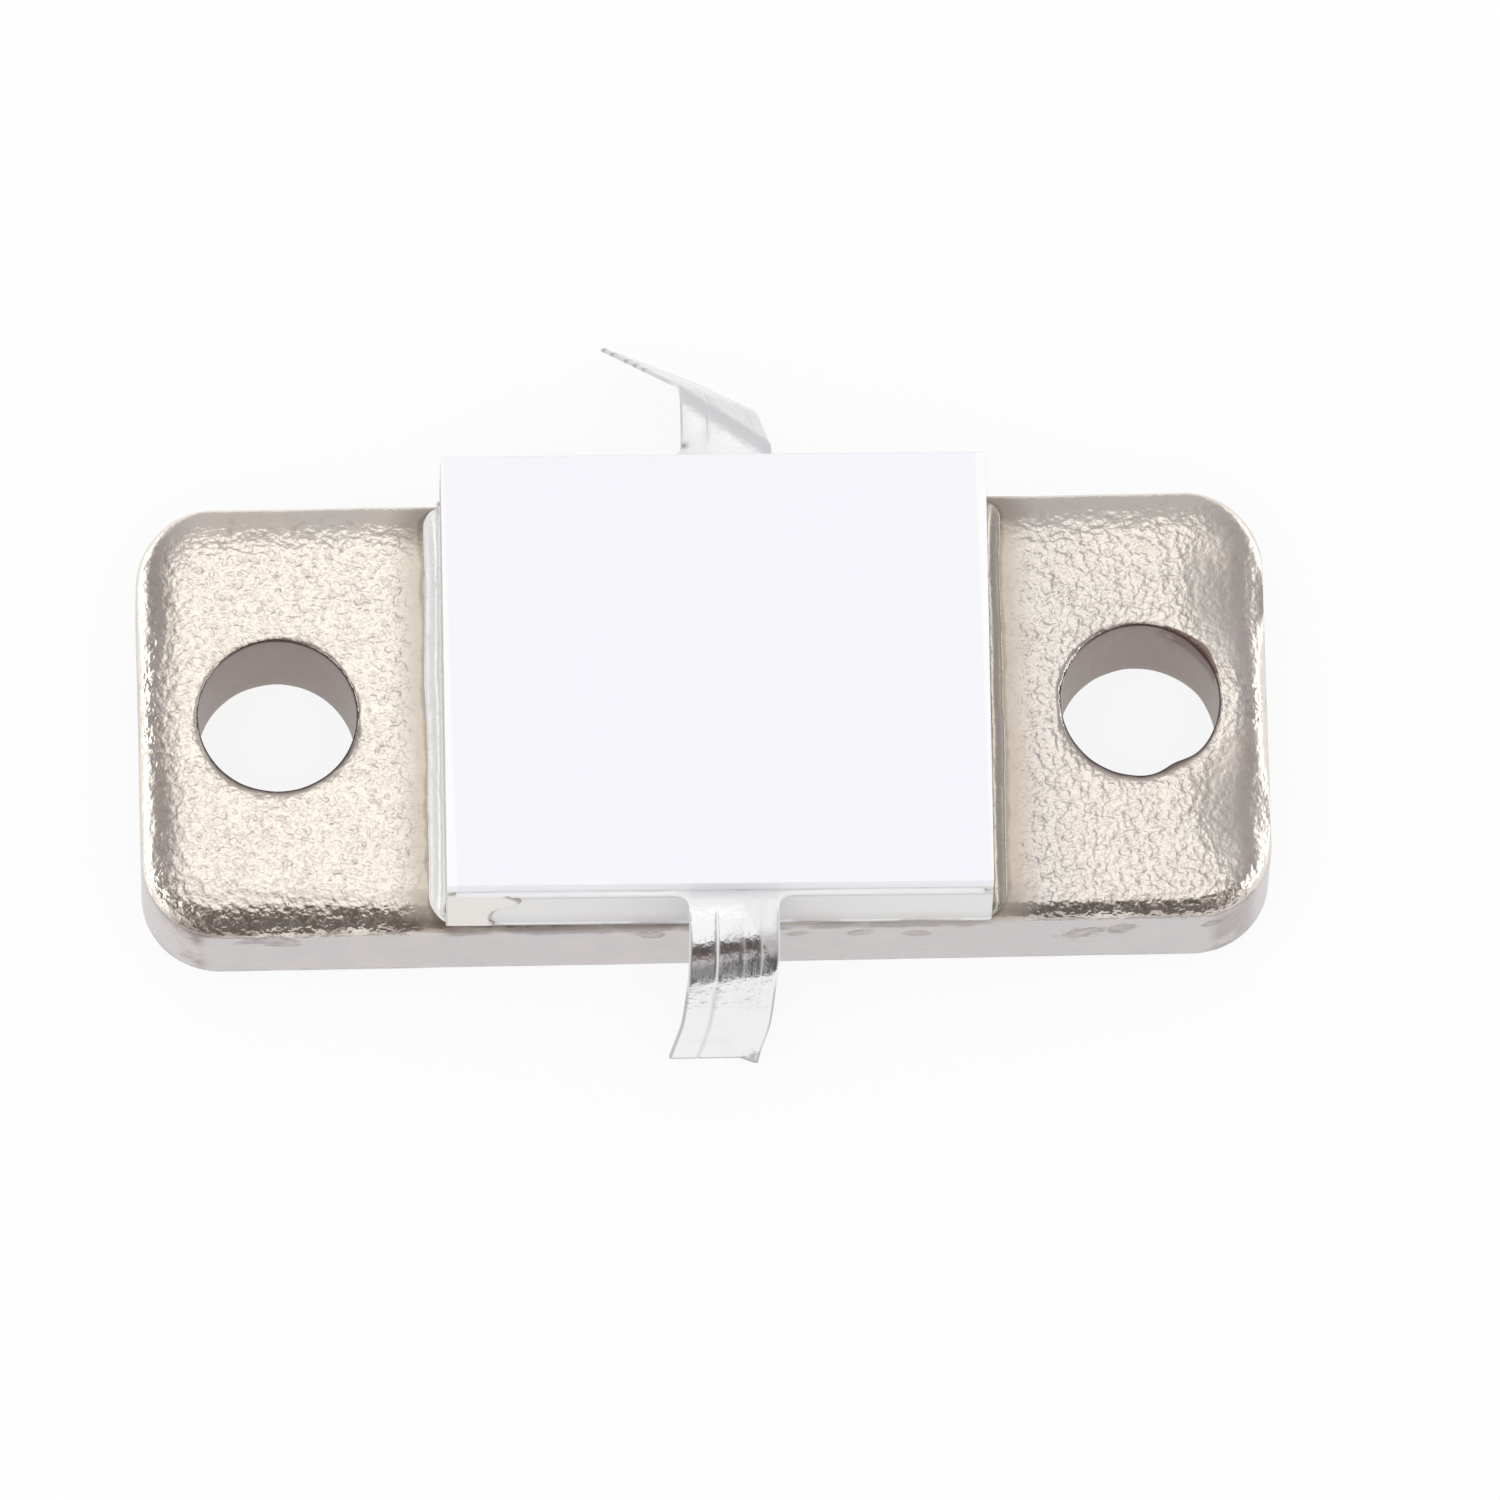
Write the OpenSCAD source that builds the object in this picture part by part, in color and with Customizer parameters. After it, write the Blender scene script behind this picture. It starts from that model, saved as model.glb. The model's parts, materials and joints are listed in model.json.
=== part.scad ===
// High-power RF resistor: a ceramic chip soldered on a plated copper flange, with two ribbon leads and a ceramic cover.
// X runs along the flange, Y across it towards the back lead, and Z up from the face that seats on the heat sink.

/* [Flange] */
// Length of the flange, end to end
flange_l = 25; // [24.4:0.1:32]
// Width of the flange, front to back
flange_w = 10; // [9.6:0.1:14]
// Thickness of the flange
flange_t = 3; // [2.4:0.1:5]
// Radius of the flange's corners, seen from above
corner_r = 1.75; // [1:0.05:2.5]
// Round of the flange's upper edge
top_round = 0.7; // [0.2:0.05:0.9]
// Round of the flange's lower edge
bottom_round = 0.18; // [0.06:0.02:0.4]

/* [Mounting holes] */
// Distance from each end of the flange to the middle of its hole
hole_edge = 2.95; // [2.5:0.05:3.6]
// Diameter of each hole
hole_d = 3.5; // [2.6:0.1:3.8]
// Round of each hole's rims
rim_round = 0.12; // [0.04:0.02:0.2]
// How far the pair of holes lies to the right of the flange's middle
hole_shift = 0.12; // [-0.3:0.02:0.3]

/* [Ceramic] */
// Width of the ceramic body, along the flange
chip_w = 12.05; // [10:0.05:12.8]
// Depth of the ceramic body, front to back
chip_d = 10.18; // [8.4:0.02:11]
// Thickness of the ceramic body
chip_t = 1.85; // [1.25:0.05:3]
// Thickness of the fired metal under the ceramic body
base_metal_t = 0.02; // [0.01:0.01:0.05]
// How far the ceramic sits to the right of the flange's middle
chip_shift = 0.25; // [-0.3:0.05:0.3]
// How far the ceramic is turned on the flange, anticlockwise from above
chip_turn = -0.52; // [-1.5:0.02:1.5]

/* [Solder under the ceramic] */
// Thickness of the solder
solder_t = 0.08; // [0.04:0.01:0.2]
// Reach and height of the solder fillet at each side of the ceramic
fillet_r = 0.3; // [0.15:0.05:0.4]
// Thickness of the solder at the outer end of a fillet
fillet_toe = 0.03; // [0.02:0.01:0.08]
// Radius of the solder's corners, seen from above
solder_corner_r = 0.55; // [0.3:0.05:1]
// How far the solder stays back from the front and back edges
solder_inset = 0.1; // [0.04:0.02:0.3]
// How far round the flange's rolled edge the solder runs, from the top
wet_angle = 58; // [20:1:80]

/* [Resistor film] */
// Depth of each metal pad, from the edge of the ceramic inwards
pad_d = 1.5; // [1:0.1:2.4]
// Thickness of the metal pads and of the film
pad_t = 0.02; // [0.01:0.01:0.05]
// How far the pads and the film stay in from the sides of the ceramic
pad_inset = 0.15; // [0.05:0.05:0.6]
// Thickness of the glass over the film
glaze_t = 0.03; // [0.02:0.01:0.06]
// How far the glass stays in from the film's edges
glaze_inset = 0.1; // [0.05:0.05:0.4]

/* [Leads] */
// Width of each ribbon
lead_w = 2; // [1:0.1:3]
// Thickness of the ribbons
lead_t = 0.1; // [0.06:0.01:0.2]
// How far the leads lie to the right of the ceramic's middle
lead_shift = 0.3; // [-1:0.1:1]
// Thickness of the solder under a lead's foot
lead_solder_t = 0.03; // [0.02:0.01:0.06]
// How far a foot stops short of the pad's inner edge
foot_setback = 0.2; // [0.1:0.1:0.6]
// How far a foot's edge stands out past the ceramic
foot_lip = 0.02; // [0:0.01:0.1]
// Radius of the inner corners where a ribbon leaves its foot
root_r = 0.28; // [0.1:0.02:0.34]
// Length of the front ribbon along its middle, before it is bent
front_len = 5.75; // [4.4:0.05:6.3]
// Length of the back ribbon along its middle, before it is bent
back_len = 6.3; // [3.4:0.05:6.9]
// Angle of the cut at the end of the front ribbon
front_cut_angle = -1.3; // [-8:0.1:8]
// Angle of the cut at the end of the back ribbon
back_cut_angle = -31; // [-40:1:20]
// Width of the front ribbon's turned-up corner
burr_w = 0.55; // [0.1:0.05:0.9]
// Length of that corner along the ribbon
burr_l = 0.5; // [0.1:0.05:0.7]
// Radius that the corner is turned up round
burr_r = 0.2; // [0.1:0.05:0.4]
// Angle that the corner is turned up by
burr_angle = 28; // [0:1:60]

/* [Bends of the leads] */
// Straight stretch of the front ribbon before its bend, at the nearer edge
front_root_l = 0.37; // [0.35:0.01:0.6]
// Radius of the front ribbon's bend
front_bend_r = 1.5; // [0.8:0.05:1.7]
// Angle of the front ribbon's bend
front_bend_angle = 62; // [30:1:70]
// Skew of the front ribbon's bend
front_skew_angle = 7.5; // [-10:0.5:10]
// Radius of the curve towards the front ribbon's tip
front_tip_r = 2.35; // [1:0.05:2.6]
// Angle of the curve towards the front ribbon's tip
front_tip_angle = 28.5; // [10:0.5:30]
// Skew of the curve towards the front ribbon's tip
front_tip_skew_angle = -6.3; // [-10:0.1:10]
// Radius of the back ribbon's crease
back_bend_r = 0.3; // [0.15:0.05:0.6]
// Angle of the back ribbon's crease
back_bend_angle = 52; // [20:1:60]
// Skew of the back ribbon's crease
back_skew_angle = 34; // [0:1:40]
// Radius of the curve towards the back ribbon's tip
back_tip_r = 0.84; // [0.4:0.02:1.5]
// Angle of the curve towards the back ribbon's tip
back_tip_angle = 19.5; // [5:0.5:30]
// Least straight stretch between two bends
bend_gap = 0.02; // [0.01:0.01:0.1]

/* [Cover] */
// Width of the cover, along the flange
cover_w = 12.05; // [10:0.05:12.8]
// Depth of the cover, front to back
cover_d = 10.05; // [8.6:0.05:10.4]
// Thickness of the cover
cover_t = 0.45; // [0.3:0.05:1]
// Thickness of the glue between a lead's foot and the cover
glue_t = 0.03; // [0.02:0.01:0.08]
// How far the glue stays in from the cover's edges
glue_inset = 0.08; // [0.04:0.02:0.3]
// Thickness of the dried run of glue on the front face
run_t = 0.05; // [0.03:0.01:0.1]
// Width of the dried run of glue
run_w = 1.65; // [0.8:0.05:2.5]

/* [Hidden] */
$fn = 64;

// Heights, each on the one below it
chip_base_z = flange_t + solder_t + base_metal_t;
pad_z = chip_base_z + chip_t;
lead_solder_z = pad_z + pad_t;
foot_z = lead_solder_z + lead_solder_t;
glue_top_z = foot_z + lead_t + glue_t;

// Plan sizes that follow from the ones above
film_w = chip_w - 2 * pad_inset;
film_d = chip_d - 2 * pad_d;
foot_d = pad_d - foot_setback;
solder_d = min(chip_d, flange_w) - 2 * solder_inset;
hole_r = hole_d / 2;
hole_spacing = flange_l - 2 * hole_edge;
glue_w = min(cover_w, chip_w) - 2 * glue_inset;
glue_d = min(cover_d, chip_d) - 2 * glue_inset;

// Each bend of a ribbon is the straight stretch before it at the nearer edge, its skew, its angle and its radius
front_bends = [
    [front_root_l, front_skew_angle, front_bend_angle, front_bend_r],
    [bend_gap, front_tip_skew_angle, front_tip_angle, front_tip_r]
];
back_bends = [
    [bend_gap, back_skew_angle, back_bend_angle, back_bend_r],
    [bend_gap, 0, back_tip_angle, back_tip_r]
];
// Rows of facets round each bend
bend_rows = 12;

// Outline of the dried run of glue, as shares of its width and of the height of the ceramic's front face
run_outline = [
    [0, 0.04], [0, 1.1], [0.83, 1.1], [1, 0.86], [0.66, 0.6], [0.6, 0.28], [0.7, 0.1]
];

module on_flange() {
    translate([chip_shift, 0, 0])
        rotate([0, 0, chip_turn])
            children();
}

// A plate centred in plan that stands at a height
module plate(w, d, t, z) {
    translate([-w / 2, -d / 2, z])
        cube([w, d, t]);
}

// The frame that the leads are drawn in, with +Y outwards at the front as well as at the back
module at_lead(front) {
    mirror([0, front ? 1 : 0, 0])
        translate([lead_shift, 0, 0])
            children();
}

// Half of a cross-section through the flange, out to its rounded edges
module edge_profile(reach) {
    square([reach - top_round, flange_t]);
    square([reach - bottom_round, flange_t - top_round]);
    translate([0, bottom_round])
        square([reach, flange_t - top_round - bottom_round]);
    translate([reach - top_round, flange_t - top_round])
        circle(top_round);
    translate([reach - bottom_round, bottom_round])
        circle(bottom_round);
}

// A straight stretch of the flange with both long edges rounded
module rounded_bar(length, half_width) {
    rotate([90, 0, 90])
        translate([0, 0, -length / 2])
            linear_extrude(length)
                for (side = [0, 1])
                    mirror([side, 0])
                        edge_profile(half_width);
}

module flange_blank() {
    rounded_bar(flange_l - 2 * corner_r, flange_w / 2);
    rotate([0, 0, 90])
        rounded_bar(flange_w - 2 * corner_r, flange_l / 2);
    for (x = [-1, 1], y = [-1, 1])
        translate([x * (flange_l / 2 - corner_r), y * (flange_w / 2 - corner_r), 0])
            rotate_extrude()
                edge_profile(corner_r);
}

// Half of the section of a hole whose two rims are rounded outwards
module hole_profile() {
    difference() {
        translate([0, -rim_round])
            square([hole_r + rim_round, flange_t + 2 * rim_round]);
        translate([hole_r, rim_round])
            square([2 * rim_round, flange_t - 2 * rim_round]);
        for (z = [rim_round, flange_t - rim_round])
            translate([hole_r + rim_round, z])
                circle(rim_round);
    }
}

module flange() {
    color([0.80, 0.76, 0.71])
        difference() {
            flange_blank();
            for (side = [-1, 1])
                translate([hole_shift + side * hole_spacing / 2, 0, 0])
                    rotate_extrude()
                        hole_profile();
        }
}

// Section of the hollow fillet beside the ceramic, from its wall outwards, on the flange's surface
module fillet_section() {
    difference() {
        square([fillet_r, fillet_r + fillet_toe]);
        translate([fillet_r, fillet_r + fillet_toe])
            circle(fillet_r);
    }
}

module solder_plan() {
    corner_x = chip_w / 2 + fillet_r - solder_corner_r;
    corner_y = solder_d / 2 - solder_corner_r;
    square([2 * corner_x, solder_d], center = true);
    square([chip_w + 2 * fillet_r, 2 * corner_y], center = true);
    for (x = [-corner_x, corner_x], y = [-corner_y, corner_y])
        translate([x, y])
            circle(solder_corner_r);
}

// The fillet along the top of the flange and round its rolled edge, for the right side and the back
module side_fillet() {
    roll_y = flange_w / 2 - top_round;
    translate([chip_w / 2, roll_y, flange_t])
        rotate([90, 0, 0])
            linear_extrude(2 * roll_y)
                fillet_section();
    for (side = [0, 1])
        mirror([0, side, 0])
            translate([chip_w / 2, roll_y, flange_t - top_round])
                rotate([0, 90, 0])
                    rotate([0, 0, 90])
                        rotate_extrude(angle = 90)
                            rotate(90)
                                mirror([0, 1])
                                    translate([0, top_round])
                                        fillet_section();
}

module base_solder() {
    wet_depth = top_round * (1 - cos(wet_angle));
    color([0.86, 0.85, 0.80])
        difference() {
            on_flange()
                intersection() {
                    translate([0, 0, flange_t - wet_depth])
                        linear_extrude(wet_depth + fillet_toe + fillet_r)
                            solder_plan();
                    union() {
                        plate(chip_w, solder_d, wet_depth + solder_t, flange_t - wet_depth);
                        for (side = [0, 1])
                            mirror([side, 0, 0])
                                side_fillet();
                    }
                }
            flange_blank();
        }
}

module substrate_base_metal() {
    color([0.85, 0.85, 0.84])
        on_flange()
            plate(chip_w, chip_d, base_metal_t, flange_t + solder_t);
}

module substrate() {
    color([0.93, 0.93, 0.91])
        on_flange()
            plate(chip_w, chip_d, chip_t, chip_base_z);
}

module pad(front) {
    color([0.80, 0.80, 0.79])
        on_flange()
            mirror([0, front ? 1 : 0, 0])
                translate([-film_w / 2, chip_d / 2 - pad_d, pad_z])
                    cube([film_w, pad_d, pad_t]);
}

module front_pad() {
    pad(true);
}

module back_pad() {
    pad(false);
}

module resistor_film() {
    color([0.30, 0.29, 0.30])
        on_flange()
            plate(film_w, film_d, pad_t, pad_z);
}

module film_glaze() {
    color([0.20, 0.42, 0.30])
        on_flange()
            plate(film_w - 2 * glaze_inset, film_d - 2 * glaze_inset, glaze_t, pad_z + pad_t);
}

module lead_solder(front) {
    color([0.78, 0.78, 0.76])
        on_flange()
            mirror([0, front ? 1 : 0, 0])
                translate([-film_w / 2, chip_d / 2 - foot_d, lead_solder_z])
                    cube([film_w, foot_d, lead_solder_t]);
}

module front_lead_solder() {
    lead_solder(true);
}

module back_lead_solder() {
    lead_solder(false);
}

// Length of ribbon that a bend takes up along the middle
function bend_l(bend) = bend[3] * bend[2] * PI / 180 / cos(bend[1]);

// Where a bend starts along the middle, clear of the bend or foot before it at both edges
function bend_start(bends, k) =
    let (
        end_before = k == 0 ? 0 : bend_start(bends, k - 1) + bend_l(bends[k - 1]),
        skew_before = k == 0 ? 0 : bends[k - 1][1]
    )
    end_before + bends[k][0] + lead_w / 2 * abs(tan(bends[k][1]) - tan(skew_before));

// The turned-up corner is one more fold, across the corner of the cut end and with the other sign
function corner_fold(length, cut) =
    let (
        x = lead_w / 2 - burr_w,
        skew = atan(burr_l / burr_w - tan(cut))
    )
    [length + x * (tan(cut) + tan(skew)), skew, -burr_angle, -burr_r];

// Where a point [across, along, above] of the flat ribbon comes to lie after a fold [place, skew, angle, radius]
function folded(p, fold) =
    let (
        skew = fold[1],
        turn = fold[2],
        r = fold[3],
        arc = r * turn * PI / 180,
        y = p[1] - fold[0],
        past = p[0] * sin(skew) + y * cos(skew),
        beside = p[0] * cos(skew) - y * sin(skew),
        bent = turn * min(past / arc, 1),
        straight = max(0, past - arc),
        out = (r + p[2]) * sin(bent) + straight * cos(bent),
        up = (r + p[2]) * cos(bent) - r - straight * sin(bent)
    )
    past <= 0 ? p : [beside * cos(skew) + out * sin(skew), fold[0] - beside * sin(skew) + out * cos(skew), up];

// The fold nearest the tip is made first, so that the others carry it along
function folded_by(p, folds, k) = k < 0 ? p : folded_by(folded(p, folds[k]), folds, k - 1);

// Two triangles for a four-sided patch, split from its first corner to its third
function patch(a, b, c, d) = [[a, b, c], [a, c, d]];

// A ribbon that runs along +Y from inside its foot, whose edge is at the origin, with its middle plane at height zero.
// Its rows lie along the bends, so each facet between them is flat.
module ribbon(length, bends, cut, corner) {
    rows = [
        [-root_r, 0],
        for (k = [0:len(bends) - 1], step = [0:bend_rows])
            [bend_start(bends, k) + bend_l(bends[k]) * step / bend_rows, bends[k][1]],
        [length - burr_l, -cut],
        [length, -cut]
    ];
    columns = [-lead_w / 2, lead_w / 2 - burr_w, lead_w / 2];
    folds = [
        for (k = [0:len(bends) - 1])
            [bend_start(bends, k), bends[k][1], bends[k][2], bends[k][3]],
        if (corner) corner_fold(length, cut)
    ];
    across = len(columns);
    layer = across * len(rows);
    last_row = len(rows) - 1;
    last_column = across - 1;
    points = [
        for (above = [lead_t / 2, -lead_t / 2], row = rows, x = columns)
            folded_by([x, row[0] - x * tan(row[1]), above], folds, len(folds) - 1)
    ];
    faces = [
        for (row = [0:last_row - 1], column = [0:last_column - 1])
            let (a = row * across + column, b = a + 1, c = a + across + 1, d = a + across)
                each concat(patch(d, c, b, a), patch(layer + b, layer + c, layer + d, layer + a)),
        for (row = [0:last_row - 1])
            let (a = row * across, d = a + across, b = a + last_column, c = d + last_column)
                each concat(patch(a, layer + a, layer + d, d), patch(b, c, layer + c, layer + b)),
        for (column = [0:last_column - 1])
            let (a = column, b = a + 1, d = last_row * across + column, c = d + 1)
                each concat(patch(a, b, layer + b, layer + a), patch(d, layer + d, layer + c, c))
    ];
    polyhedron(points, faces);
}

// A round inner corner between the foot and the ribbon's right edge
module root_corner() {
    difference() {
        translate([lead_w / 2 - root_r, 0])
            square([2 * root_r, root_r]);
        translate([lead_w / 2 + root_r, root_r])
            circle(root_r);
    }
}

// The wide foot on the pad. The skew bend of the back ribbon takes up its right corner.
module foot_plan(front) {
    edge_y = chip_d / 2 + foot_lip;
    translate([-film_w / 2 - lead_shift, edge_y - foot_d - foot_lip])
        square([film_w, foot_d + foot_lip]);
    translate([0, edge_y]) {
        mirror([1, 0])
            root_corner();
        if (front)
            root_corner();
    }
}

module foot(front) {
    on_flange()
        at_lead(front)
            translate([0, 0, foot_z])
                linear_extrude(lead_t)
                    foot_plan(front);
}

module front_lead() {
    color([0.87, 0.87, 0.87]) {
        foot(true);
        on_flange()
            at_lead(true)
                translate([0, chip_d / 2 + foot_lip, foot_z + lead_t / 2])
                    ribbon(front_len, front_bends, front_cut_angle, true);
    }
}

module back_lead() {
    color([0.87, 0.87, 0.87]) {
        foot(false);
        on_flange()
            at_lead(false)
                translate([0, chip_d / 2 + foot_lip, foot_z + lead_t / 2])
                    ribbon(back_len, back_bends, back_cut_angle, false);
    }
}

module glue_run() {
    face_h = glue_top_z - chip_base_z;
    reach = run_t + (chip_d - glue_d) / 2;
    points = [for (p = run_outline) [p[0] * run_w, p[1] * chip_t]];
    intersection() {
        translate([-chip_w / 2, reach - chip_d / 2 - run_t, chip_base_z])
            rotate([90, 0, 0])
                linear_extrude(reach)
                    polygon(points);
        plate(chip_w, chip_d + 2 * run_t, face_h, chip_base_z);
    }
}

module cover_adhesive() {
    color([0.90, 0.88, 0.82])
        difference() {
            on_flange()
                union() {
                    plate(glue_w, glue_d, glue_top_z - pad_z, pad_z);
                    glue_run();
                }
            substrate();
            front_pad();
            back_pad();
            resistor_film();
            film_glaze();
            front_lead_solder();
            back_lead_solder();
            foot(true);
            foot(false);
        }
}

module cover() {
    color([0.96, 0.96, 0.98])
        on_flange()
            plate(cover_w, cover_d, cover_t, glue_top_z);
}

flange();
base_solder();
substrate_base_metal();
substrate();
front_pad();
back_pad();
resistor_film();
film_glaze();
front_lead_solder();
back_lead_solder();
front_lead();
back_lead();
cover_adhesive();
cover();
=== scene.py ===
"""High-power RF resistor, dressed: flange, solder, ceramic, leads, glue and cover on a plain stage."""

import json
import math
import random

import bpy
from mathutils import Matrix, Vector, noise
from mathutils.geometry import delaunay_2d_cdt


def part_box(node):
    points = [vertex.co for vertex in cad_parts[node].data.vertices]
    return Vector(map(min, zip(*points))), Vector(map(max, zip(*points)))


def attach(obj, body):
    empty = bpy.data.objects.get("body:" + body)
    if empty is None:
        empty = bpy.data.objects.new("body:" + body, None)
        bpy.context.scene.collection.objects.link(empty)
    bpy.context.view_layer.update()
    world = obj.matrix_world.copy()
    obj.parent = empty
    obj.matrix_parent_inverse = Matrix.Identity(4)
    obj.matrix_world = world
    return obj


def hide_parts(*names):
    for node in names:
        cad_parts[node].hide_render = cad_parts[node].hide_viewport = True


bl_info = {
    "name": "High-power RF resistor",
    "version": (1, 0, 0),
    "blender": (4, 5, 0),
    "location": "View3D > Sidebar > Resistor",
    "description": "Builds a flange-mounted power resistor piece by piece",
    "category": "Add Mesh",
}

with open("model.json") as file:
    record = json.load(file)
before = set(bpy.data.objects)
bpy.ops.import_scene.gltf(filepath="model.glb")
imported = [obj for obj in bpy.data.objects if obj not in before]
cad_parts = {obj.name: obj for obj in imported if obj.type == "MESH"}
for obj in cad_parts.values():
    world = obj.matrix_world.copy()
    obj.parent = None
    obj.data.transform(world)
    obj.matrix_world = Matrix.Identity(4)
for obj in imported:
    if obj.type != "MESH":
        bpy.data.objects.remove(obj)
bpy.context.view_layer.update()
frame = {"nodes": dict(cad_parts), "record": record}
MM = 0.001
QUARTER = math.pi / 2
WHITE = Vector((1.0, 1.0, 1.0))

HOLES = [mount for mount in frame["record"]["mounts"] if mount["kind"] == "bore"]
FLANGE_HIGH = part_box("flange")[1]
CHIP_LOW, CHIP_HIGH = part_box("substrate")
CHIP_MIDDLE = (CHIP_LOW + CHIP_HIGH) / 2
COVER_LOW, COVER_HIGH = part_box("cover")
PAD_LOW, PAD_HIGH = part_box("front_lead_solder")
METAL_LOW, METAL_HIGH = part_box("substrate_base_metal")


def length(title, about, millimetres):
    """A size that is shown in the scene's own unit."""
    return bpy.props.FloatProperty(
        name=title, description=about, default=millimetres * MM, unit="LENGTH", precision=5
    )


def turn(title, about, degrees):
    """An angle."""
    return bpy.props.FloatProperty(
        name=title, description=about, default=math.radians(degrees), subtype="ANGLE", unit="ROTATION"
    )


def number(title, about, default):
    """A plain number."""
    return bpy.props.FloatProperty(name=title, description=about, default=default, min=0.0)


def colour(title, about, default):
    """A colour with no alpha."""
    return bpy.props.FloatVectorProperty(
        name=title, description=about, default=default, size=3, min=0.0, max=1.0, subtype="COLOR"
    )


class FlangeSizes(bpy.types.PropertyGroup):
    """Sizes of the plated flange's own form."""

    corner: length("Corner radius", "Radius of the corners, seen from above", 1.75)
    front_left_round: length("Front left round", "Round of the upper front edge at the left end", 0.72)
    front_right_round: length("Front right round", "Round of the upper front edge at the right end", 0.5)
    back_run: length("Back run", "How far in the upper back edge's roll reaches", 1.3)
    back_drop: length("Back drop", "How far down that roll reaches", 0.45)
    left_run: length("Left run", "How far in the roll of the upper edge at the left end reaches", 1.1)
    right_run: length("Right run", "How far in the roll of the upper edge at the right end reaches", 0.78)
    end_drop: length("End drop", "How far down that roll reaches", 0.6)
    bottom_round: length("Bottom round", "Round of the lower edge", 0.18)
    rim_round: length("Rim round", "Round of the rims of the holes", 0.12)
    rim_wear: length("Rim wear", "How much wider that round is worn on the front side of each hole", 0.22)
    lumps: length("Lumps", "Depth of the soft lumps that tumbling leaves", 0.03)
    mesh_step: length("Mesh step", "Distance between points of the ears", 0.09)


class CeramicSizes(bpy.types.PropertyGroup):
    """Sizes of the ceramic body and of its cover."""

    width: length("Width", "Width of the ceramic body and of its cover", 12.05)
    depth: length("Depth", "Depth of the ceramic body", 10.18)
    cover_depth: length("Cover depth", "Depth of the cover", 10.05)
    turn: turn("Turn", "How far the ceramic is turned on the flange", -0.52)
    edge: length("Edge", "Round of the ceramic's edges", 0.025)


class SolderSizes(bpy.types.PropertyGroup):
    """Sizes of the solder round the ceramic's foot."""

    reach: length("Reach", "Reach and height of the fillet beside the ceramic", 0.36)
    toe: length("Toe", "Thickness of the solder at the fillet's outer end", 0.03)
    corner: length("Corner radius", "Radius of the solder's corners, seen from above", 0.55)
    setback: length("Setback", "How far the solder stays back from the front and back edges", 0.1)
    bulge: length("Bulge", "How far the solder draws in between flange and ceramic", 0.04)


class LeadSizes(bpy.types.PropertyGroup):
    """Sizes of the two ribbon leads."""

    width: length("Width", "Width of each ribbon", 2.0)
    thickness: length("Thickness", "Thickness of the ribbons", 0.1)
    shift: length("Shift", "How far the leads lie to the right of the ceramic's middle", 0.3)
    lip: length("Lip", "How far a foot stands out past the ceramic", 0.035)
    root: length("Root radius", "Radius of the inner corners at the foot", 0.28)
    front_length: length("Front length", "Length of the front ribbon along its middle", 5.64)
    back_length: length("Back length", "Length of the back ribbon along its middle", 6.3)
    front_cut: turn("Front cut", "Angle of the cut at the front ribbon's end", -1.3)
    back_cut: turn("Back cut", "Angle of the cut at the back ribbon's end", -31)
    edge: length("Edge", "Round of the ribbons' edges", 0.025)
    score: length("Score", "Depth of the score lines that the rolls left along the ribbons", 0.012)
    roll_over: length("Roll-over", "How far the shears rolled the ribbons' edges over", 0.03)
    burr_width: length("Burr width", "Width of the front ribbon's turned-up corner", 0.55)
    burr_length: length("Burr length", "Length of that corner along the ribbon", 0.5)
    burr_radius: length("Burr radius", "Radius that the corner is turned up round", 0.2)
    burr_angle: turn("Burr angle", "Angle that the corner is turned up by", 36)


class GlueSizes(bpy.types.PropertyGroup):
    """Sizes of the glue under the cover and of its dried run."""

    setback: length("Setback", "How far the glue stays in from the cover's edges", 0.01)
    corner: length("Corner radius", "Radius of the glue's corners, seen from above", 0.08)
    run_width: length("Run width", "Width of the dried run on the front face", 1.65)
    run_thickness: length("Run thickness", "Thickness of the dried run", 0.05)


class Finishes(bpy.types.PropertyGroup):
    """Colours of the finishes."""

    nickel: colour("Nickel", "Plated flange", (0.86, 0.79, 0.70))
    # Darker than the nickel: painted shade on the upright sides, in the lavender tint of their rubbed
    # finish.
    rubbed_and_shaded_side: colour("Rubbed side", "Flange's upright sides", (0.58, 0.54, 0.545))
    # Painted shade in the holes: their walls are coloured dark.
    bore: colour("Bore", "Walls of the holes", (0.27, 0.215, 0.19))
    stain: colour("Flux stain", "Halo that the solder left on the plating", (0.50, 0.44, 0.37))
    solder: colour("Solder", "Solder", (0.97, 0.97, 0.95))
    fired_metal: colour("Fired metal", "Metal fired on the ceramic", (0.82, 0.82, 0.81))
    ceramic: colour("Ceramic", "Ceramic body", (0.83, 0.82, 0.815))
    film: colour("Film", "Resistor film", (0.10, 0.10, 0.11))
    glass: colour("Glass", "Glass over the film", (0.06, 0.20, 0.11))
    silver: colour("Silver", "Ribbon leads", (0.88, 0.88, 0.885))
    sheared: colour("Sheared silver", "Cut edges of the ribbon leads", (0.34, 0.32, 0.33))
    glue: colour("Glue", "Glue under the cover", (0.84, 0.80, 0.76))
    # Painted shade at the broken edge of the glue's dried run.
    run_edge_shade: colour("Glue edge", "Edge of the glue's dried run", (0.46, 0.40, 0.39))
    cover: colour("Cover", "Cover", (0.92, 0.915, 0.965))


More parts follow.
